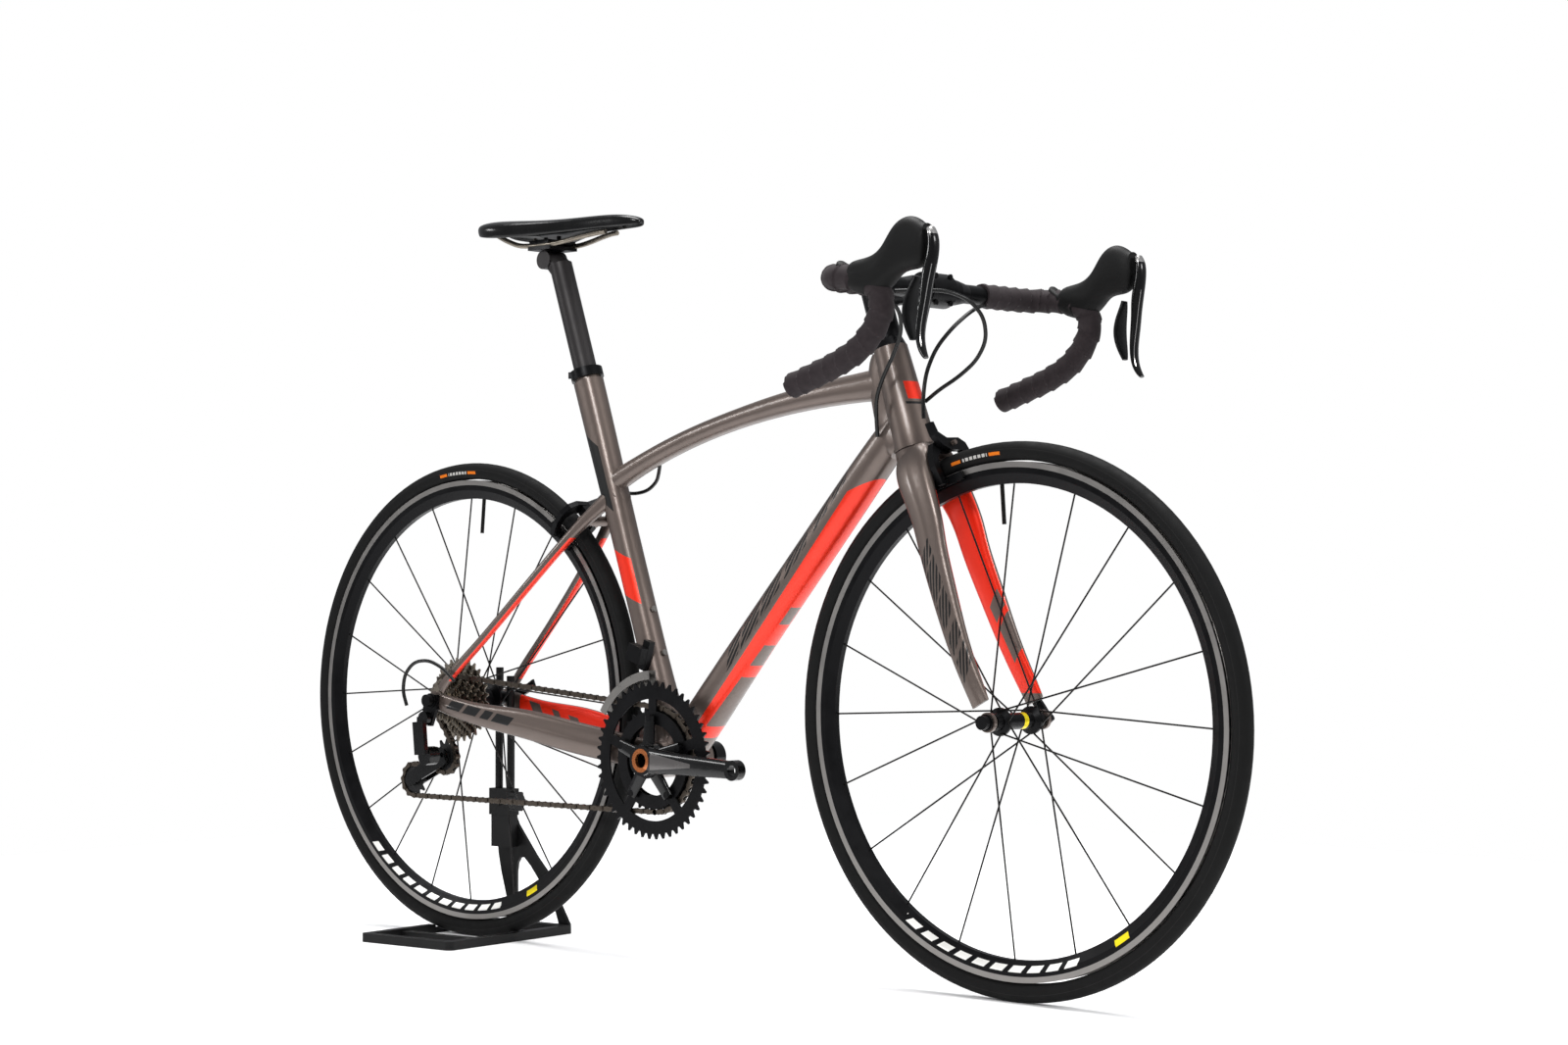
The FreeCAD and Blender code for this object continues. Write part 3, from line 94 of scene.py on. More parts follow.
def newMaterial(name, look, paintOver=None):
    # colour, grain and fine bump from noise at real sizes
    material = bpy.data.materials.new(name)
    material.use_nodes = True
    tree = material.node_tree
    tree.nodes.clear()
    place = addNode(tree, "ShaderNodeTexCoord").outputs["Object"]
    broad = addNode(tree, "ShaderNodeTexNoise", {
        "Vector": place, "Scale": 1000 / look["patchMm"], "Detail": 3.0, "Roughness": 0.55})
    fine = addNode(tree, "ShaderNodeTexNoise", {
        "Vector": place, "Scale": 1000 / look["grainMm"], "Detail": 2.0, "Roughness": 0.5})
    colour = mixColour(tree, broad.outputs[0], toLinear(look["colour"]), toLinear(look["second"]))
    low, high = look["rough"]
    rough = addNode(tree, "ShaderNodeMapRange", {0: broad.outputs[0], 1: 0.3, 2: 0.7, 3: low, 4: high})
    roughness = rough.outputs[0]
    metallic = look.get("metallic", 0.0)
    if paintOver:
        colour, metallic = paintOver(tree, colour, metallic)
    bump = addNode(tree, "ShaderNodeBump", {
        "Height": fine.outputs[0], "Strength": look.get("strength", 0.3),
        "Distance": look["grainMm"] * millimetre * look.get("depth", 0.2)})
    shader = addNode(tree, "ShaderNodeBsdfPrincipled", {
        "Base Color": colour, "Roughness": roughness, "Normal": bump.outputs[0],
        "Metallic": metallic, "Coat Weight": look.get("coat", 0.0),
        "Coat Roughness": look.get("coatRough", 0.05), "Sheen Weight": look.get("sheen", 0.0),
        "Specular IOR Level": look.get("specular", 0.5)})
    addNode(tree, "ShaderNodeOutputMaterial", {0: shader.outputs[0]})
    materials[name] = material
    return material


def fieldsOf(tree):
    # object coordinates in millimetres, x from the rear axle, and the object's own normals
    coordinates = addNode(tree, "ShaderNodeTexCoord")
    place = addNode(tree, "ShaderNodeSeparateXYZ", {0: coordinates.outputs["Object"]})
    facing = addNode(tree, "ShaderNodeSeparateXYZ", {0: coordinates.outputs["Normal"]})
    x = calc(tree, "MULTIPLY_ADD", place.outputs[0], 1000.0, rearAxleBack)
    y = calc(tree, "MULTIPLY", place.outputs[1], 1000.0)
    z = calc(tree, "MULTIPLY", place.outputs[2], 1000.0)
    outward = calc(tree, "MULTIPLY", facing.outputs[1], calc(tree, "SIGN", y))
    return {"x": x, "y": y, "z": z, "outward": outward, "nx": facing.outputs[0], "nz": facing.outputs[2]}


def linear(tree, terms, shift=0.0):
    # the sum of field times number, plus shift
    total = shift
    for field, factor in terms:
        total = calc(tree, "MULTIPLY_ADD", field, factor, total)
    return total


def alongLine(tree, fields, origin, degrees):
    # u along a line in the side view and v square to it, both in millimetres
    c, s = math.cos(math.radians(degrees)), math.sin(math.radians(degrees))
    u = linear(tree, [(fields["x"], c), (fields["z"], s)], -origin[0] * c - origin[1] * s)
    v = linear(tree, [(fields["x"], -s), (fields["z"], c)], origin[0] * s - origin[1] * c)
    return u, v


def within(tree, field, low, high):
    return calc(tree, "COMPARE", field, (low + high) / 2, (high - low) / 2)


def allOf(tree, *masks):
    total = masks[0]
    for mask in masks[1:]:
        total = calc(tree, "MULTIPLY", total, mask)
    return total


def noneOf(tree, mask):
    return calc(tree, "SUBTRACT", 1.0, mask)


def above(tree, field, limit):
    return calc(tree, "GREATER_THAN", field, limit)


def below(tree, field, limit):
    return calc(tree, "LESS_THAN", field, limit)


def distance(tree, first, second):
    squares = calc(tree, "MULTIPLY_ADD", first, first, calc(tree, "MULTIPLY", second, second))
    return calc(tree, "SQRT", squares)


def anyOf(tree, *masks):
    total = masks[0]
    for mask in masks[1:]:
        total = calc(tree, "MAXIMUM", total, mask)
    return total


def blocks(tree, field, spans):
    return anyOf(tree, *[within(tree, field, low, high) for low, high in spans])


def stripes(tree, field, pitch, share):
    # one in each pitch of the field, that share of it wide
    place = calc(tree, "FRACT", calc(tree, "MULTIPLY", field, 1 / pitch))
    return calc(tree, "LESS_THAN", place, share)


def overlay(tree, colour, metallic, mask, code, shine=0.55):
    colour = mixColour(tree, mask, colour, toLinear(code))
    keep = calc(tree, "SUBTRACT", 1.0, mask)
    return colour, calc(tree, "MULTIPLY_ADD", keep, metallic, calc(tree, "MULTIPLY", mask, shine))


graphics = {
    "orange": "#e42600",
    "black": "#040404",
    "downTube": ((410, 267), 47.7),  # start in the side view and slope
    "seatTube": ((410, 267), 108.8),
    "forkBlade": ((872, 538), -63.3),
    "hatchPitch": 5.2,
    # where each row of marks starts and ends along its tube, in millimetres
    "notches": [(250, 280), (178, 214), (70, 158)],
    "hatches": [(166, 196), (202, 246), (252, 300), (312, 366), (384, 418), (426, 462)],
    "stayNotches": [(58, 84), (112, 128), (150, 172)],
    "stayMarks": [(30, 56), (62, 88), (96, 112), (118, 150)],
    "forkNotches": [(74, 96), (104, 150)],
    "forkHatches": [(0, 18), (22, 60), (64, 96), (106, 128), (136, 164)],
}


def paintTriangle(tree, colour, metallic):
    f = fieldsOf(tree)
    u, v = alongLine(tree, f, *graphics["downTube"])
    onTube = allOf(tree, within(tree, v, -48, 40), above(tree, u, 62.0))
    edge = linear(tree, [(v, 1.0), (u, -0.024)])
    end = linear(tree, [(u, 1.0), (v, 2.0)])
    orange = allOf(tree, onTube, below(tree, edge, -12.5), below(tree, end, 467.0))
    slanted = linear(tree, [(u, 1.0), (v, 0.5)])
    notch = allOf(tree, below(tree, v, -20.0), blocks(tree, slanted, graphics["notches"]))
    bar = allOf(tree, within(tree, v, -30, -26), within(tree, slanted, 60, 140))
    orange = allOf(tree, orange, noneOf(tree, calc(tree, "SUBTRACT", notch, bar)))
    lower = linear(tree, [(v, 1.0), (u, -0.0436)])
    hatchFace = allOf(tree, onTube, above(tree, lower, -10.6), below(tree, v, 20.0),
                      above(tree, f["outward"], 0.25))
    sheared = linear(tree, [(u, 1.0), (v, -1.4)])
    pieces = blocks(tree, sheared, graphics["hatches"])
    lines = stripes(tree, linear(tree, [(v, 1.0), (u, -0.25)]), graphics["hatchPitch"], 0.62)
    hatch = allOf(tree, hatchFace, pieces, lines)
    s, t = alongLine(tree, f, *graphics["seatTube"])
    # t runs backward from the seat tube's line
    slope = linear(tree, [(s, 1.0), (t, -0.9)])
    panel = allOf(tree, within(tree, t, -13, 24), within(tree, slope, 223, 287),
                  above(tree, f["outward"], 0.1))
    collar = linear(tree, [(s, 1.0), (t, -1.3)])
    patch = allOf(tree, within(tree, t, -6, 26), within(tree, collar, 352, 446))
    front = allOf(tree, above(tree, f["nx"], 0.45), above(tree, f["x"], 780.0))
    badge = allOf(tree, front, within(tree, f["z"], 726, 748), within(tree, f["y"], -15, 15))
    band = allOf(tree, front, within(tree, f["z"], 719.5, 722.5), within(tree, f["y"], -18, 18))
    colour, metallic = overlay(tree, colour, metallic, anyOf(tree, orange, panel, badge), graphics["orange"])
    return overlay(tree, colour, metallic, anyOf(tree, hatch, patch, band), graphics["black"])


def paintChainstays(tree, colour, metallic):
    f = fieldsOf(tree)
    inner = allOf(tree, below(tree, f["outward"], -0.3), within(tree, f["x"], 34, 300))
    rise = linear(tree, [(f["z"], 1.0), (f["x"], 0.19)], -340.0)
    slanted = linear(tree, [(f["x"], 1.0), (rise, 0.8)])
    gaps = allOf(tree, blocks(tree, slanted, graphics["stayNotches"]), below(tree, rise, 3.0))
    orange = allOf(tree, inner, noneOf(tree, gaps))
    line = linear(tree, [(f["z"], 1.0), (f["x"], 0.175)], -335.0)
    skew = linear(tree, [(f["x"], 1.0), (line, -0.9)])
    marks = allOf(tree, above(tree, f["outward"], 0.5), within(tree, line, -6.5, 6.5),
                  blocks(tree, skew, graphics["stayMarks"]))
    colour, metallic = overlay(tree, colour, metallic, orange, graphics["orange"])
    return overlay(tree, colour, metallic, marks, graphics["black"])


def paintSeatstays(tree, colour, metallic):
    f = fieldsOf(tree)
    under = linear(tree, [(f["nx"], 0.67), (f["nz"], -0.74)])
    mask = allOf(tree, above(tree, under, 0.42), within(tree, f["z"], 362, 560))
    return overlay(tree, colour, metallic, mask, graphics["orange"])


def paintFork(tree, colour, metallic):
    f = fieldsOf(tree)
    u, v = alongLine(tree, f, *graphics["forkBlade"])
    inner = allOf(tree, below(tree, f["outward"], -0.25), within(tree, f["z"], 366, 612))
    slanted = linear(tree, [(u, 1.0), (v, 0.8)])
    gap = allOf(tree, within(tree, v, -2, 18), blocks(tree, slanted, graphics["forkNotches"]))
    orange = allOf(tree, inner, noneOf(tree, gap))
    face = above(tree, f["outward"], 0.3)
    lines = stripes(tree, linear(tree, [(v, 1.0), (u, 0.42)]), graphics["hatchPitch"], 0.6)
    shear = linear(tree, [(u, 1.0), (v, 1.0)])
    solid = allOf(tree, blocks(tree, shear, graphics["forkHatches"]), lines)
    hatch = allOf(tree, face, within(tree, v, -9, 12), solid)
    colour, metallic = overlay(tree, colour, metallic, orange, graphics["orange"])
    return overlay(tree, colour, metallic, hatch, graphics["black"])


finishes = {
    # clear-coated metallic paint, a fine flake under gloss
    "taupeMetallicPaint": {"colour": "#6b5f59", "second": "#5e534d", "patchMm": 60, "grainMm": 0.8,
                           "depth": 0.01, "strength": 0.05, "rough": (0.38, 0.46), "metallic": 0.8,
                           "coat": 0.4, "coatRough": 0.18},
    # tyre rubber, black with a dusty bloom, matt
    "tyreRubber": {"colour": "#0b0b0b", "second": "#121212", "patchMm": 14, "grainMm": 1.2,
                   "rough": (0.62, 0.78), "specular": 0.12},
    # moulded rubber of the hoods, fine stipple
    "hoodRubber": {"colour": "#080808", "second": "#0e0e0e", "patchMm": 18, "grainMm": 0.9,
                   "strength": 0.5, "rough": (0.5, 0.62), "specular": 0.16},
    # black anodised aluminium, satin
    "blackAnodised": {"colour": "#0a0a0b", "second": "#101012", "patchMm": 25, "grainMm": 0.5,
                      "depth": 0.05, "rough": (0.3, 0.42), "metallic": 0.6, "specular": 0.2},
    # gloss black painted alloy of cranks and levers
    "blackGloss": {"colour": "#050505", "second": "#09090a", "patchMm": 40, "grainMm": 0.8,
                   "depth": 0.02, "rough": (0.2, 0.3), "metallic": 0.3, "coat": 0.35, "specular": 0.2},
    # bare machined aluminium, faint lines
    "machinedAluminium": {"colour": "#a19e9a", "second": "#7f7c78", "patchMm": 12, "grainMm": 0.4,
                          "depth": 0.05, "rough": (0.25, 0.38), "metallic": 1.0},
    # nickel plated steel of cogs
    "nickelSteel": {"colour": "#9a9286", "second": "#6b645b", "patchMm": 9, "grainMm": 0.5,
                    "depth": 0.08, "rough": (0.28, 0.42), "metallic": 1.0},
    # oiled chain steel, brownish grey
    "chainSteel": {"colour": "#5d554d", "second": "#3f3933", "patchMm": 7, "grainMm": 0.5,
                   "rough": (0.3, 0.45), "metallic": 1.0},
    # spoke steel, black coated
    "spokeSteel": {"colour": "#121111", "second": "#1b1a19", "patchMm": 20, "grainMm": 0.4,
                   "depth": 0.05, "rough": (0.3, 0.4), "metallic": 0.8},
    # powder-coated steel tube and plate, satin with orange peel
    "powderCoat": {"colour": "#080808", "second": "#0d0d0e", "patchMm": 30, "grainMm": 1.4,
                   "depth": 0.12, "rough": (0.38, 0.5), "specular": 0.2},
    # nylon, moulded
    "mouldedNylon": {"colour": "#080809", "second": "#0d0d0e", "patchMm": 20, "grainMm": 0.8,
                     "rough": (0.35, 0.48), "specular": 0.25},
    # gloss smooth saddle cover
    "saddleLeather": {"colour": "#040404", "second": "#070707", "patchMm": 22, "grainMm": 1.1,
                      "depth": 0.08, "rough": (0.18, 0.28), "coat": 0.15, "coatRough": 0.1, "specular": 0.3},
    # perforated microfibre tape, dark brown grey, matt
    "barTapeFibre": {"colour": "#2e2729", "second": "#211c1e", "patchMm": 8, "grainMm": 0.9,
                     "strength": 0.7, "rough": (0.7, 0.85), "sheen": 0.05, "specular": 0.15},
    # PVC cable housing
    "cableHousing": {"colour": "#060606", "second": "#0a0a0a", "patchMm": 15, "grainMm": 0.6,
                     "depth": 0.05, "rough": (0.25, 0.35), "specular": 0.3},
    # satin carbon seatpost
    "satinPost": {"colour": "#2b2828", "second": "#211f20", "patchMm": 35, "grainMm": 0.7,
                  "depth": 0.04, "rough": (0.4, 0.5), "metallic": 0.3, "specular": 0.3},
}

wheelPaint = {
    "rimEdge": 311,
    "track": "#8a8784",  # machined brake track
    "white": "#ecebe6",
    "yellow": "#e8d21c",
    "amber": "#d9751f",
    "mouldLine": "#2c2b2b",
    "faded": "#b9b7b3",
    "polish": 0.9,  # how metallic the bare track is
    "trackSpan": (8.0, 0.6),  # how far in from the rim's edge each ring starts and ends
    "markSpan": (21, 13),
    "sidewallMarks": (318.5, 322.5),
    "mouldLineSpan": (324.6, 325.0),
    "hubHeight": 334.5,
}


def wheelFields(tree, hubX):
    f = fieldsOf(tree)
    across = linear(tree, [(f["x"], 1.0)], -hubX)
    rise = linear(tree, [(f["z"], 1.0)], -wheelPaint["hubHeight"])
    radius = distance(tree, across, rise)
    angle = calc(tree, "DEGREES", calc(tree, "ARCTAN2", rise, across))
    return radius, angle


def paintRim(hubX, first, last):
    def paint(tree, colour, metallic):
        radius, angle = wheelFields(tree, hubX)
        edge = wheelPaint["rimEdge"]
        track, ringed = [within(tree, radius, edge - wheelPaint[span][0], edge - wheelPaint[span][1])
                         for span in ("trackSpan", "markSpan")]
        sheared = linear(tree, [(angle, 1.0), (radius, 0.16)])
        white = allOf(tree, ringed, within(tree, angle, first, last), stripes(tree, sheared, 5.4, 0.68))
        yellow = allOf(tree, ringed, within(tree, angle, last + 11, last + 15.5))
        colour, metallic = overlay(tree, colour, metallic, track, wheelPaint["track"], wheelPaint["polish"])
        colour, metallic = overlay(tree, colour, metallic, white, wheelPaint["white"])
        return overlay(tree, colour, metallic, yellow, wheelPaint["yellow"])
    return paint


def paintTyre(hubX, first):
    # plain dashes where a maker would put words, and a faint mould line
    def paint(tree, colour, metallic):
        radius, angle = wheelFields(tree, hubX)
        ringed = within(tree, radius, *wheelPaint["sidewallMarks"])
        amberSpans = [(first - 2.6, first), (first - 13.5, first - 10.5)]
        amber = allOf(tree, ringed, blocks(tree, angle, amberSpans))
        dashes = stripes(tree, angle, 1.15, 0.7)
        white = allOf(tree, ringed, within(tree, angle, first - 10, first - 3.2), dashes)
        line = within(tree, radius, *wheelPaint["mouldLineSpan"])
        colour, metallic = overlay(tree, colour, metallic, amber, wheelPaint["amber"])
        colour, metallic = overlay(tree, colour, metallic, line, wheelPaint["mouldLine"])
        return overlay(tree, colour, metallic, white, wheelPaint["faded"])
    return paint


def paintFrontHub(tree, colour, metallic):
    f = fieldsOf(tree)
    return overlay(tree, colour, metallic, within(tree, f["y"], 6, 14), wheelPaint["yellow"])


crankPaint = {
    "spindle": (410, 267),
    "armDegrees": -1.7,
    "outerFace": -66.0,
    "copper": "#b0683a",
    "copperSpan": (9.0, 15.5),
    "copperShine": 0.9,
    "wedge": "#5b5857",
    "wedgeSpan": (18, 96),
}
leverPaint = {
    "chrome": "#cfcdca",
    "capHeight": 897.0,
    "pinstripeSpan": (768, 862),
}


def paintCrank(tree, colour, metallic):
    # copper-coloured ring round the spindle's mouth and a grey wedge on the arm
    f = fieldsOf(tree)
    u, v = alongLine(tree, f, crankPaint["spindle"], crankPaint["armDegrees"])
    radius = distance(tree, u, v)
    outer = below(tree, f["y"], crankPaint["outerFace"])
    ring = allOf(tree, outer, within(tree, radius, *crankPaint["copperSpan"]))
    spread = linear(tree, [(calc(tree, "ABSOLUTE", v), 1.0), (u, 0.11)], -13.0)
    wedge = allOf(tree, outer, below(tree, spread, 0.0), within(tree, u, *crankPaint["wedgeSpan"]))
    colour, metallic = overlay(tree, colour, metallic, wedge, crankPaint["wedge"], 0.5)
    return overlay(tree, colour, metallic, ring, crankPaint["copper"], crankPaint["copperShine"])


def paintLever(tree, colour, metallic):
    # chrome cap over the pivot and two bright pinstripes down the blade
    f = fieldsOf(tree)
    cap = above(tree, f["z"], leverPaint["capHeight"])
    apart = calc(tree, "ABSOLUTE", f["y"])
    side = calc(tree, "ABSOLUTE", linear(tree, [(apart, 1.0), (f["z"], 0.055)], -250.6))
    lines = allOf(tree, within(tree, side, 3.6, 4.6), within(tree, f["z"], *leverPaint["pinstripeSpan"]))
    return overlay(tree, colour, metallic, anyOf(tree, cap, lines), leverPaint["chrome"], 1.0)


painted = {
    "front_rim": paintRim(974, -124, -70),
    "rear_rim": paintRim(0, -134, -76),
    "front_tyre": paintTyre(974, 106),
    "rear_tyre": paintTyre(0, 100),
    "front_hub": paintFrontHub,
    "right_crank": paintCrank,
    "left_brake_lever": paintLever,
    "right_brake_lever": paintLever,
    "front_triangle": paintTriangle,
    "chainstays": paintChainstays,
    "seatstays": paintSeatstays,
    "fork": paintFork,
}
wearing = {
    "taupeMetallicPaint": ["front_triangle", "chainstays", "seatstays", "fork"],
    "tyreRubber": ["front_tyre", "rear_tyre"],
    "hoodRubber": ["brake_hoods"],
    "blackAnodised": ["front_rim", "rear_rim", "front_hub", "rear_hub", "saddle_clamp", "stem",
                      "handlebar", "headset_spacers", "seat_clamp", "bottom_bracket", "front_brake_arm_left",
                      "front_brake_arm_right", "rear_brake_arm_left", "rear_brake_arm_right",
                      "derailleur_hanger", "front_derailleur_bracket", "chainrings", "front_axle",
                      "rear_axle", "front_quick_release", "rear_quick_release"],
    "blackGloss": ["right_crank", "left_crank", "left_brake_lever", "right_brake_lever",
                   "rear_derailleur_bracket", "rear_derailleur_link", "rear_derailleur_knuckle",
                   "rear_derailleur_cage"],
    "machinedAluminium": ["headset_bearings", "front_derailleur_cage", "bottle_bolts"],
    "nickelSteel": ["cassette", "saddle_rails"],
    "chainSteel": ["chain"],
    "spokeSteel": ["front_spokes", "rear_spokes"],
    "powderCoat": ["stand_base", "stand_leg_plate", "stand_clamp_block", "stand_arms"],
    "mouldedNylon": ["stand_knob", "left_shift_paddle", "right_shift_paddle", "upper_pulley",
                     "lower_pulley", "saddle_shell"],
    "saddleLeather": ["saddle_cover"],
    "barTapeFibre": ["bar_tape"],
    "cableHousing": ["shift_cables", "rear_cables", "front_brake_cable"],
    "satinPost": ["seatpost"],
}


def dress(node, material):
    mesh = nodes[node].data
    mesh.materials.clear()
    mesh.materials.append(material)


def dressAll():
    for name, look in finishes.items():
        newMaterial(name, look)
    for name, wearers in wearing.items():
        for node in wearers:
            if node in painted:
                dress(node, newMaterial(name + "On_" + node, finishes[name], painted[node]))
            else:
                dress(node, materials[name])
    print("CAD nodes dressed")


def makeTree(name, sockets):
    # a geometry tree with named inputs and one geometry output
    tree = bpy.data.node_groups.new(name, "GeometryNodeTree")
    tree.interface.new_socket("Geometry", in_out="INPUT", socket_type="NodeSocketGeometry")
    for label, kind in sockets:
        tree.interface.new_socket(label, in_out="INPUT", socket_type="NodeSocket" + kind)
    tree.interface.new_socket("Result", in_out="OUTPUT", socket_type="NodeSocketGeometry")
    return tree, addNode(tree, "NodeGroupInput").outputs


def storeValue(tree, geometry, name, value):
    inputs = {"Geometry": geometry, "Name": name, "Value": value}
    kind = "GeometryNodeStoreNamedAttribute"
    return addNode(tree, kind, inputs, data_type="FLOAT", domain="POINT").outputs[0]


def readValue(tree, name):
    kind = "GeometryNodeInputNamedAttribute"
    return addNode(tree, kind, {"Name": name}, data_type="FLOAT").outputs[0]


def closeTree(tree, geometry, material):
    whole = addNode(tree, "GeometryNodeRealizeInstances", {0: geometry}).outputs[0]
    dressed = addNode(tree, "GeometryNodeSetMaterial", {"Geometry": whole, "Material": material})
    addNode(tree, "NodeGroupOutput", {0: dressed.outputs[0]})


def bake(base, tree, values, name):
    # runs the tree on the base object and keeps a plain mesh
    modifier = base.modifiers.new(tree.name, "NODES")
    modifier.node_group = tree
    for item in tree.interface.items_tree:
        if item.name in values and item.in_out == "INPUT":
            modifier[item.identifier] = values[item.name]
    base.update_tag()
    depsgraph = bpy.context.evaluated_depsgraph_get()
    mesh = bpy.data.meshes.new_from_object(base.evaluated_get(depsgraph), depsgraph=depsgraph)
    base.modifiers.clear()
    made = bpy.data.objects.new(name, mesh)
    mesh.name = name
    bpy.context.scene.collection.objects.link(made)
    bpy.data.objects.remove(base)
    return made


def meshObject(name, points, edges=(), faces=()):
    mesh = bpy.data.meshes.new(name)
    mesh.from_pydata([tuple(p) for p in points], list(edges), list(faces))
    mesh.update()
    made = bpy.data.objects.new(name, mesh)
    bpy.context.scene.collection.objects.link(made)
    return made


def shade(piece):
    for face in piece.data.polygons:
        face.use_smooth = True


def faceOutward(piece):
    shape = bmesh.new()
    shape.from_mesh(piece.data)
    bmesh.ops.recalc_face_normals(shape, faces=shape.faces)
    shape.to_mesh(piece.data)
    shape.free()


def spot(x, y, z):
    # millimetres from the rear axle to metres in the frame
    return Vector((x - rearAxleBack, y, z)) * millimetre


chainLook = {
    "pitch": 12.7,
    "links": 113,
    "y": -41.2,
    "wheels": [(410, 267, 34, 1), (0, 334.5, 17, 1), (-8, 254, 11, -1), (-76, 219, 11, 1)],
    "plateHeight": 3.9,
    "plate": 0.9,
    "waist": 0.62,  # share of the plate's height
    "roller": 3.7,
    "pin": 1.7,
    "pinProud": 0.25,
    "pinSides": 8,
    "outerReach": 2.9,
    "innerReach": 1.8,
}


def chainTangents(wheels):
    # where the chain leaves each wheel and where it arrives at the next
    leaves, arrives = [], []
    for index, (centre, radius, sign) in enumerate(wheels):
        following, nextRadius, nextSign = wheels[(index + 1) % len(wheels)]
        span = following - centre
        lean = math.asin((nextSign * nextRadius - sign * radius) / span.length)
        angle = math.atan2(span.y, span.x) - lean
        normal = Vector((-math.sin(angle), math.cos(angle)))
        leaves.append(centre - normal * sign * radius)
        arrives.append(following - normal * nextSign * nextRadius)
    return leaves, arrives


def chainPath():
    # the loop round the wheels as a list of points in the side view
    wheels = []
    for x, z, teeth, sign in chainLook["wheels"]:
        radius = chainLook["pitch"] / (2 * math.sin(math.pi / teeth))
        wheels.append((Vector((x, z)), radius, sign))
    leaves, arrives = chainTangents(wheels)
    points = []
    for index, (centre, radius, sign) in enumerate(wheels):
        start, end = arrives[index - 1] - centre, leaves[index] - centre
        first = math.atan2(start.y, start.x)
        turn = (math.atan2(end.y, end.x) - first) * sign % (2 * math.pi)
        steps = max(6, int(turn * radius / 2))
        for step in range(steps + 1):
            angle = first + sign * turn * step / steps
            points.append(centre + Vector((math.cos(angle), math.sin(angle))) * radius)
    return points


def evenly(points, count):
    # points spaced evenly round a closed loop
    lengths = [(points[i] - points[i - 1]).length for i in range(1, len(points))]
    lengths.append((points[0] - points[-1]).length)
    step = sum(lengths) / count
    found, travelled, index = [], 0.0, 0
    for place in range(count):
        wanted = place * step
        while travelled + lengths[index] < wanted:
            travelled += lengths[index]
            index += 1
        following = points[(index + 1) % len(points)]
        found.append(points[index].lerp(following, (wanted - travelled) / lengths[index]))
    return found


def plateOutline():
    # two rounded ends and a waist, round the middle of the link
    half, height = chainLook["pitch"] / 2, chainLook["plateHeight"]
    outline = []
    for side in (1, -1):
        for degrees in (-75, -25, 25, 75):
            angle = math.radians(degrees)
            outline.append((side * (half + height * math.cos(angle)), side * height * math.sin(angle)))
        outline.append((0.0, side * height * chainLook["waist"]))
    return outline


def prism(points, faces, near, far):
    # closes the space between two matching rings of points
    start, count = len(points), len(near)
    points += near + far
    faces.append([start + i for i in range(count)])
    faces.append([start + 2 * count - 1 - i for i in range(count)])
    for i in range(count):
        j = (i + 1) % count
        faces.append([start + j, start + i, start + count + i, start + count + j])


def linkMesh(name, reach, roller):
    # two waisted plates joined by two pins or rollers
    plate, half = chainLook["plate"], chainLook["pitch"] / 2
    points, faces = [], []
    for side in (1, -1):
        rings = [[(x, side * y, z) for x, z in plateOutline()] for y in (reach, reach + plate)]
        prism(points, faces, *rings)
    wide = reach if roller else reach + plate + chainLook["pinProud"]
    radius = chainLook["roller"] if roller else chainLook["pin"]
    angles = [2 * math.pi * step / chainLook["pinSides"] for step in range(chainLook["pinSides"])]
    for centre in (-half, half):
        rings = [[(centre + radius * math.cos(angle), y, radius * math.sin(angle)) for angle in angles]
                 for y in (-wide, wide)]
        prism(points, faces, *rings)
    link = meshObject(name, [Vector(point) * millimetre for point in points], (), faces)
    faceOutward(link)
    return link


def linkTree():
    tree, inputs = makeTree("linksOnPins", [("Link", "Object"), ("Finish", "Material")])
    spin = addNode(tree, "ShaderNodeCombineXYZ", {"Y": readValue(tree, "turn")})
    link = addNode(tree, "GeometryNodeObjectInfo", {"Object": inputs["Link"]})
    placed = addNode(tree, "GeometryNodeInstanceOnPoints", {
        "Points": inputs["Geometry"], "Instance": link.outputs["Geometry"], "Rotation": spin.outputs[0]})
    closeTree(tree, placed.outputs[0], inputs["Finish"])
    return tree


def makeChain():
    pins = evenly(chainPath(), chainLook["links"])
    tree = linkTree()
    halves = []
    kinds = ((0, chainLook["outerReach"], False), (1, chainLook["innerReach"], True))
    for parity, reach, roller in kinds:
        middles, turns = [], []
        for index in range(parity, len(pins), 2):
            here, following = pins[index], pins[(index + 1) % len(pins)]
            middle, chord = (here + following) / 2, following - here
            middles.append(spot(middle.x, chainLook["y"], middle.y))
            turns.append(-math.atan2(chord.y, chord.x))
        base = meshObject("pins", middles)
        base.data.attributes.new("turn", "FLOAT", "POINT").data.foreach_set("value", turns)
        link = linkMesh("oneLink", reach, roller)
        halves.append(bake(base, tree, {"Link": link, "Finish": materials["chainSteel"]}, "halfChain"))
        bpy.data.objects.remove(link)
    return joined(halves, "driveChain", materials["chainSteel"])


def joined(pieces, name, material):
    shape = bmesh.new()
    for piece in pieces:
        shape.from_mesh(piece.data)
    mesh = bpy.data.meshes.new(name)
    shape.to_mesh(mesh)
    shape.free()
    mesh.materials.append(material)
    for face in mesh.polygons:
        face.material_index = 0
    for piece in pieces:
        bpy.data.objects.remove(piece)
    made = bpy.data.objects.new(name, mesh)
    bpy.context.scene.collection.objects.link(made)
    return made


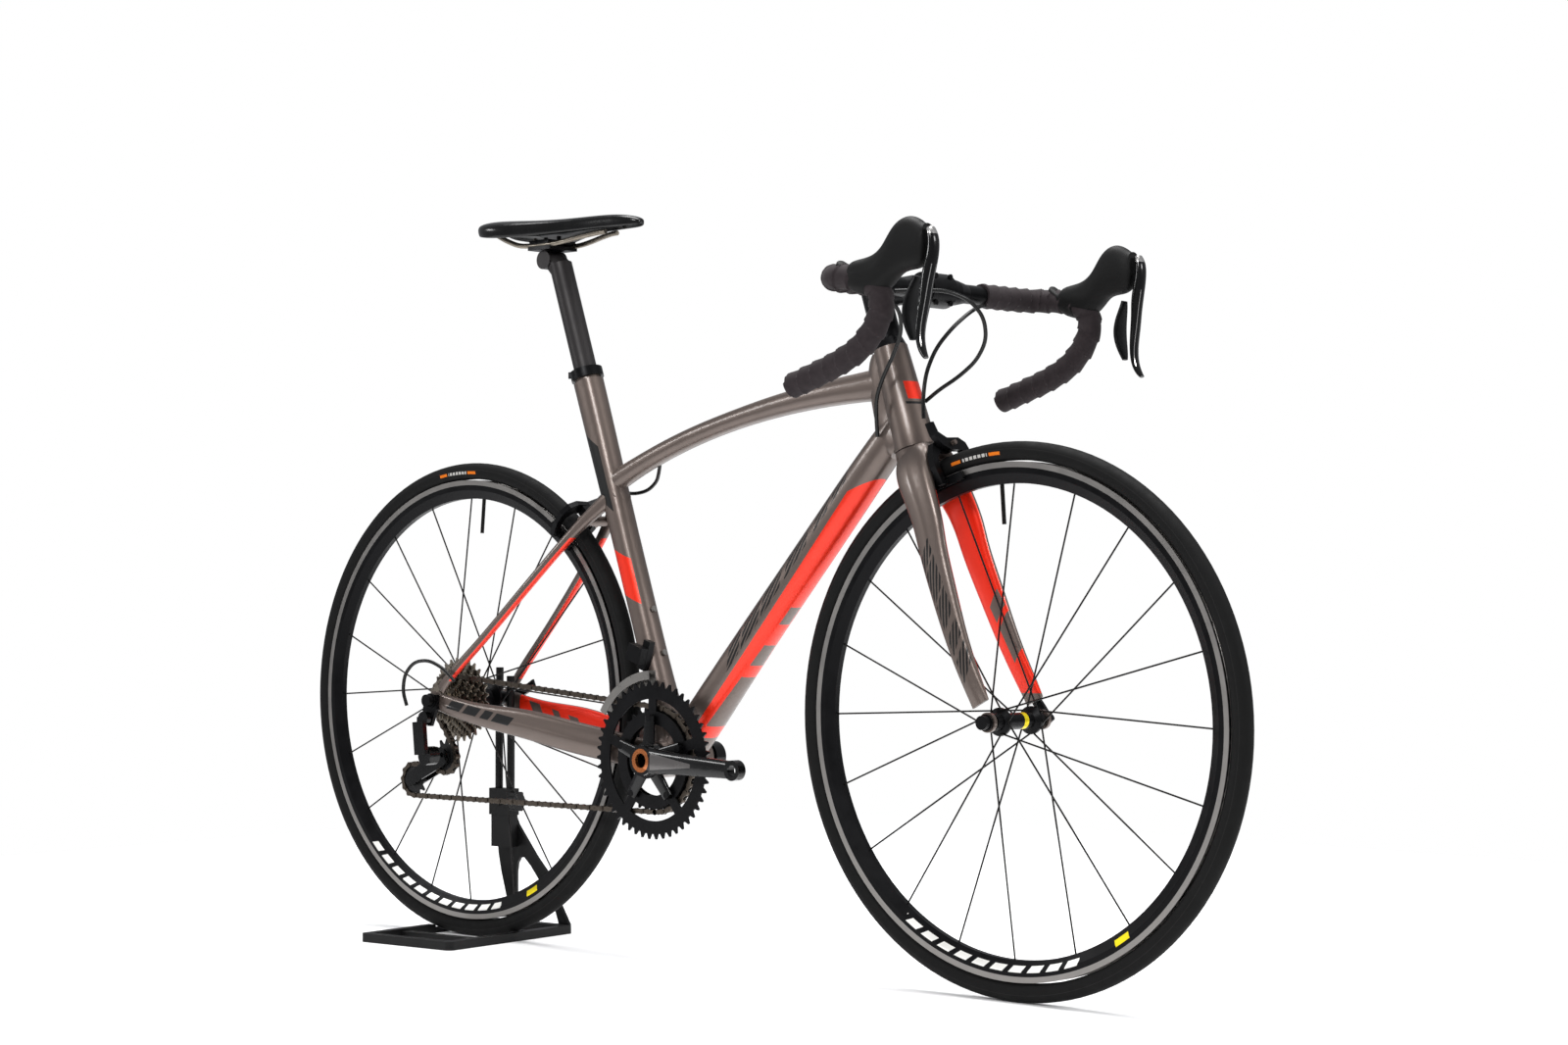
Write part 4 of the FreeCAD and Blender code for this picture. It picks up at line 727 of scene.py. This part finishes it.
tape = {
    "radius": 14.2,
    "pitch": 21.0,  # how far each turn of the wrap advances
    "ridge": 1.8,
    "step": 1.6,
    "creaseDegrees": 35,
    "sides": 32,
    "route": [(847, 94, 858), (847, 155, 858), (850, 186, 858), (864, 203, 858), (892, 205, 856),
              (918, 203, 850), (935, 202, 836), (937, 201, 816), (926, 201, 794), (904, 201, 772),
              (872, 201, 757), (836, 201, 745), (797, 201, 733)],
}


def rounded(route, bend=0.45):
    # straight runs joined by tangent arcs
    points = [route[0]]
    for index in range(1, len(route) - 1):
        here = route[index]
        back, on = route[index - 1] - here, route[index + 1] - here
        reach = bend * min(back.length, on.length)
        first, last = here + back.normalized() * reach, here + on.normalized() * reach
        for step in range(7):
            t = step / 6
            points.append(first.lerp(here, t).lerp(here.lerp(last, t), t))
    points.append(route[-1])
    return points


def wrapTree():
    tree, inputs = makeTree("spiralWrap", [
        ("Radius", "Float"), ("Pitch", "Float"), ("Ridge", "Float"), ("Step", "Float"),
        ("Finish", "Material")])
    line = addNode(tree, "GeometryNodeMeshToCurve", {"Mesh": inputs["Geometry"]}).outputs[0]
    lengths = {"Curve": line, "Length": inputs["Step"]}
    even = addNode(tree, "GeometryNodeResampleCurve", lengths, mode="LENGTH")
    run = addNode(tree, "GeometryNodeSplineParameter").outputs["Length"]
    kept = storeValue(tree, even.outputs[0], "along", run)
    circle = addNode(tree, "GeometryNodeCurvePrimitiveCircle", {
        "Resolution": tape["sides"], "Radius": inputs["Radius"]})
    share = addNode(tree, "GeometryNodeSplineParameter").outputs["Factor"]
    marked = storeValue(tree, circle.outputs[0], "around", share)
    body = addNode(tree, "GeometryNodeCurveToMesh", {
        "Curve": kept, "Profile Curve": marked, "Fill Caps": True})
    turns = calc(tree, "DIVIDE", readValue(tree, "along"), inputs["Pitch"])
    wave = calc(tree, "FRACT", calc(tree, "ADD", turns, readValue(tree, "around")))
    height = calc(tree, "MULTIPLY", calc(tree, "POWER", wave, 2.0), inputs["Ridge"])
    normal = addNode(tree, "GeometryNodeInputNormal").outputs[0]
    push = addNode(tree, "ShaderNodeVectorMath", {0: normal, "Scale": height}, operation="SCALE")
    offset = {"Geometry": body.outputs[0], "Offset": push.outputs[0]}
    shaped = addNode(tree, "GeometryNodeSetPosition", offset)
    closeTree(tree, shaped.outputs[0], inputs["Finish"])
    return tree


def makeTape():
    tree = wrapTree()
    values = {label: tape[label.lower()] * millimetre for label in ("Radius", "Pitch", "Ridge", "Step")}
    values["Finish"] = materials["barTapeFibre"]
    sides = []
    for side in (1, -1):
        route = [spot(x, side * y, z) for x, y, z in tape["route"]]
        points = rounded(route)
        base = meshObject("tapeLine", points, [(i, i + 1) for i in range(len(points) - 1)])
        sides.append(bake(base, tree, values, "tapeSide"))
    wrap = joined(sides, "barTapeWrap", materials["barTapeFibre"])
    shade(wrap)
    wrap.data.set_sharp_from_angle(angle=math.radians(tape["creaseDegrees"]))
    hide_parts("bar_tape")
    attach(wrap, "fork")
    print("bar tape wrapped")


saddleLook = {
    # x, half width, crown height, depth of the side
    "stations": [(56, 26, 997, 11), (60, 40, 999.5, 15), (74, 60, 1001, 21), (100, 68, 1002.5, 28),
                 (135, 64, 1000.5, 28), (175, 46, 998.5, 23), (215, 30, 998.5, 20), (255, 22.5, 999, 19),
                 (295, 19, 998.5, 18), (322, 16, 995, 14), (335, 10, 991, 9), (340, 5, 988, 6)],
    "channelDepth": 2.4,
    "channelHalf": 8,
    "channelBack": 84,
    "channelFront": 300,
    "roundShare": 0.55,  # share of the depth that the rounded crown takes
    "roundPower": 2.8,
    "wall": 5.5,
}


def crownFall(share):
    return saddleLook["roundShare"] * abs(share) ** saddleLook["roundPower"]


def channelDip(x, y):
    # the shallow groove along the crown, fading out at both ends
    back, front = saddleLook["channelBack"], saddleLook["channelFront"]
    if not back < x < front:
        return 0.0
    across = math.exp(-(y / saddleLook["channelHalf"]) ** 2)
    return saddleLook["channelDepth"] * across * min(1, (x - back) / 40, (front - x) / 60)


def saddleRing(x, half, crown, drop):
    # a closed section from one edge over the crown to the other and back underneath
    ring = []
    for step in range(-8, 9):
        share = step / 8
        y = half * math.sin(share * math.pi / 2)
        ring.append((x, y, crown - drop * crownFall(share) - channelDip(x, y)))
    wall = min(saddleLook["wall"], half * 0.4, drop * 0.4)
    for share, depth in ((0.985, 0.8), (0.95, 1.0)):
        ring.append((x, half * share, crown - drop * depth))
    for share in (0.93, 0.8, 0.45, 0.0, -0.45, -0.8, -0.93):
        depth = crownFall(share) + (0.3 if abs(share) > 0.9 else 0.0)
        ring.append((x, (half - wall * 0.4) * share, crown - wall - 1.5 - drop * depth * 0.9))
    for share, depth in ((-0.95, 1.0), (-0.985, 0.8)):
        ring.append((x, half * share, crown - drop * depth))
    return [spot(*point) for point in ring]


def makeSaddle():
    rings = [saddleRing(*station) for station in saddleLook["stations"]]
    count = len(rings[0])
    points = [point for ring in rings for point in ring]
    faces = []
    last = (len(rings) - 1) * count
    for start in range(0, last, count):
        after = start + count
        for i in range(count):
            j = (i + 1) % count
            faces.append([start + i, start + j, after + j, after + i])
    faces.append(list(range(count))[::-1])
    faces.append([last + i for i in range(count)])
    saddle = meshObject("saddleCover", points, (), faces)
    faceOutward(saddle)
    rounding = saddle.modifiers.new("rounding", "SUBSURF")
    rounding.levels = 2
    rounding.render_levels = 2
    shade(saddle)
    saddle.data.materials.append(materials["saddleLeather"])
    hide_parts("saddle_cover")
    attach(saddle, "seatpost")
    print("saddle covered")


def dressChain():
    chain = makeChain()
    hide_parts("chain")
    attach(chain, "frame")
    print("chain linked")


studio = {
    "floorHalf": 2.0,
    "floor": {"colour": "#ffffff", "second": "#fafafa", "patchMm": 400, "grainMm": 20, "depth": 0.0,
              "strength": 0.0, "rough": (0.7, 0.8)},
    "lampShape": 0.6,  # height over width
    "backdrop": "#ffffff",
    "ambient": "#9c9da0",  # what the walls of the studio give back
    # name, place, what it is aimed at, width in metres and watts
    "lamps": [
        ("keySoftbox", (1.2, -3.4, 2.6), (0.0, 0.0, 0.5), 1.3, 85),
        ("fillSoftbox", (3.6, 1.2, 2.0), (0.2, 0.0, 0.5), 1.1, 45),
        ("sideSoftbox", (-2.8, -2.4, 1.6), (-0.2, 0.0, 0.5), 0.8, 22),
        ("topSoftbox", (0.0, 0.3, 3.6), (0.0, 0.0, 0.3), 3.4, 190),
    ],
}


def makeStudio():
    half = studio["floorHalf"]
    corners = [(-half, -half, 0), (half, -half, 0), (half, half, 0), (-half, half, 0)]
    floor = meshObject("floor", corners, (), [(0, 1, 2, 3)])
    floor.data.materials.append(newMaterial("paleFloor", studio["floor"]))
    makeWorld()
    for name, place, aim, wide, power in studio["lamps"]:
        makeLamp(name, Vector(place), Vector(aim), wide, power)
    print("studio ready")


def makeWorld():
    # a white backdrop to look at, and a grey room to light by
    world = bpy.data.worlds.new("studio")
    bpy.context.scene.world = world
    world.use_nodes = True
    tree = world.node_tree
    tree.nodes.clear()
    seen = addNode(tree, "ShaderNodeLightPath").outputs["Is Camera Ray"]
    colour = mixColour(tree, seen, toLinear(studio["ambient"]), toLinear(studio["backdrop"]))
    light = addNode(tree, "ShaderNodeBackground", {0: colour, 1: 1.0})
    addNode(tree, "ShaderNodeOutputWorld", {0: light.outputs[0]})


def makeLamp(name, place, aim, wide, power):
    data = bpy.data.lights.new(name, "AREA")
    data.shape = "RECTANGLE"
    data.size = wide
    data.size_y = wide * studio["lampShape"]
    data.energy = power
    lamp = bpy.data.objects.new(name, data)
    lamp.location = place
    lamp.rotation_euler = (aim - place).to_track_quat("-Z", "Y").to_euler()
    bpy.context.scene.collection.objects.link(lamp)


bpy.context.scene.view_settings.view_transform = "Standard"
makeCamera()
makeStudio()
dressAll()
dressChain()
makeTape()
makeSaddle()
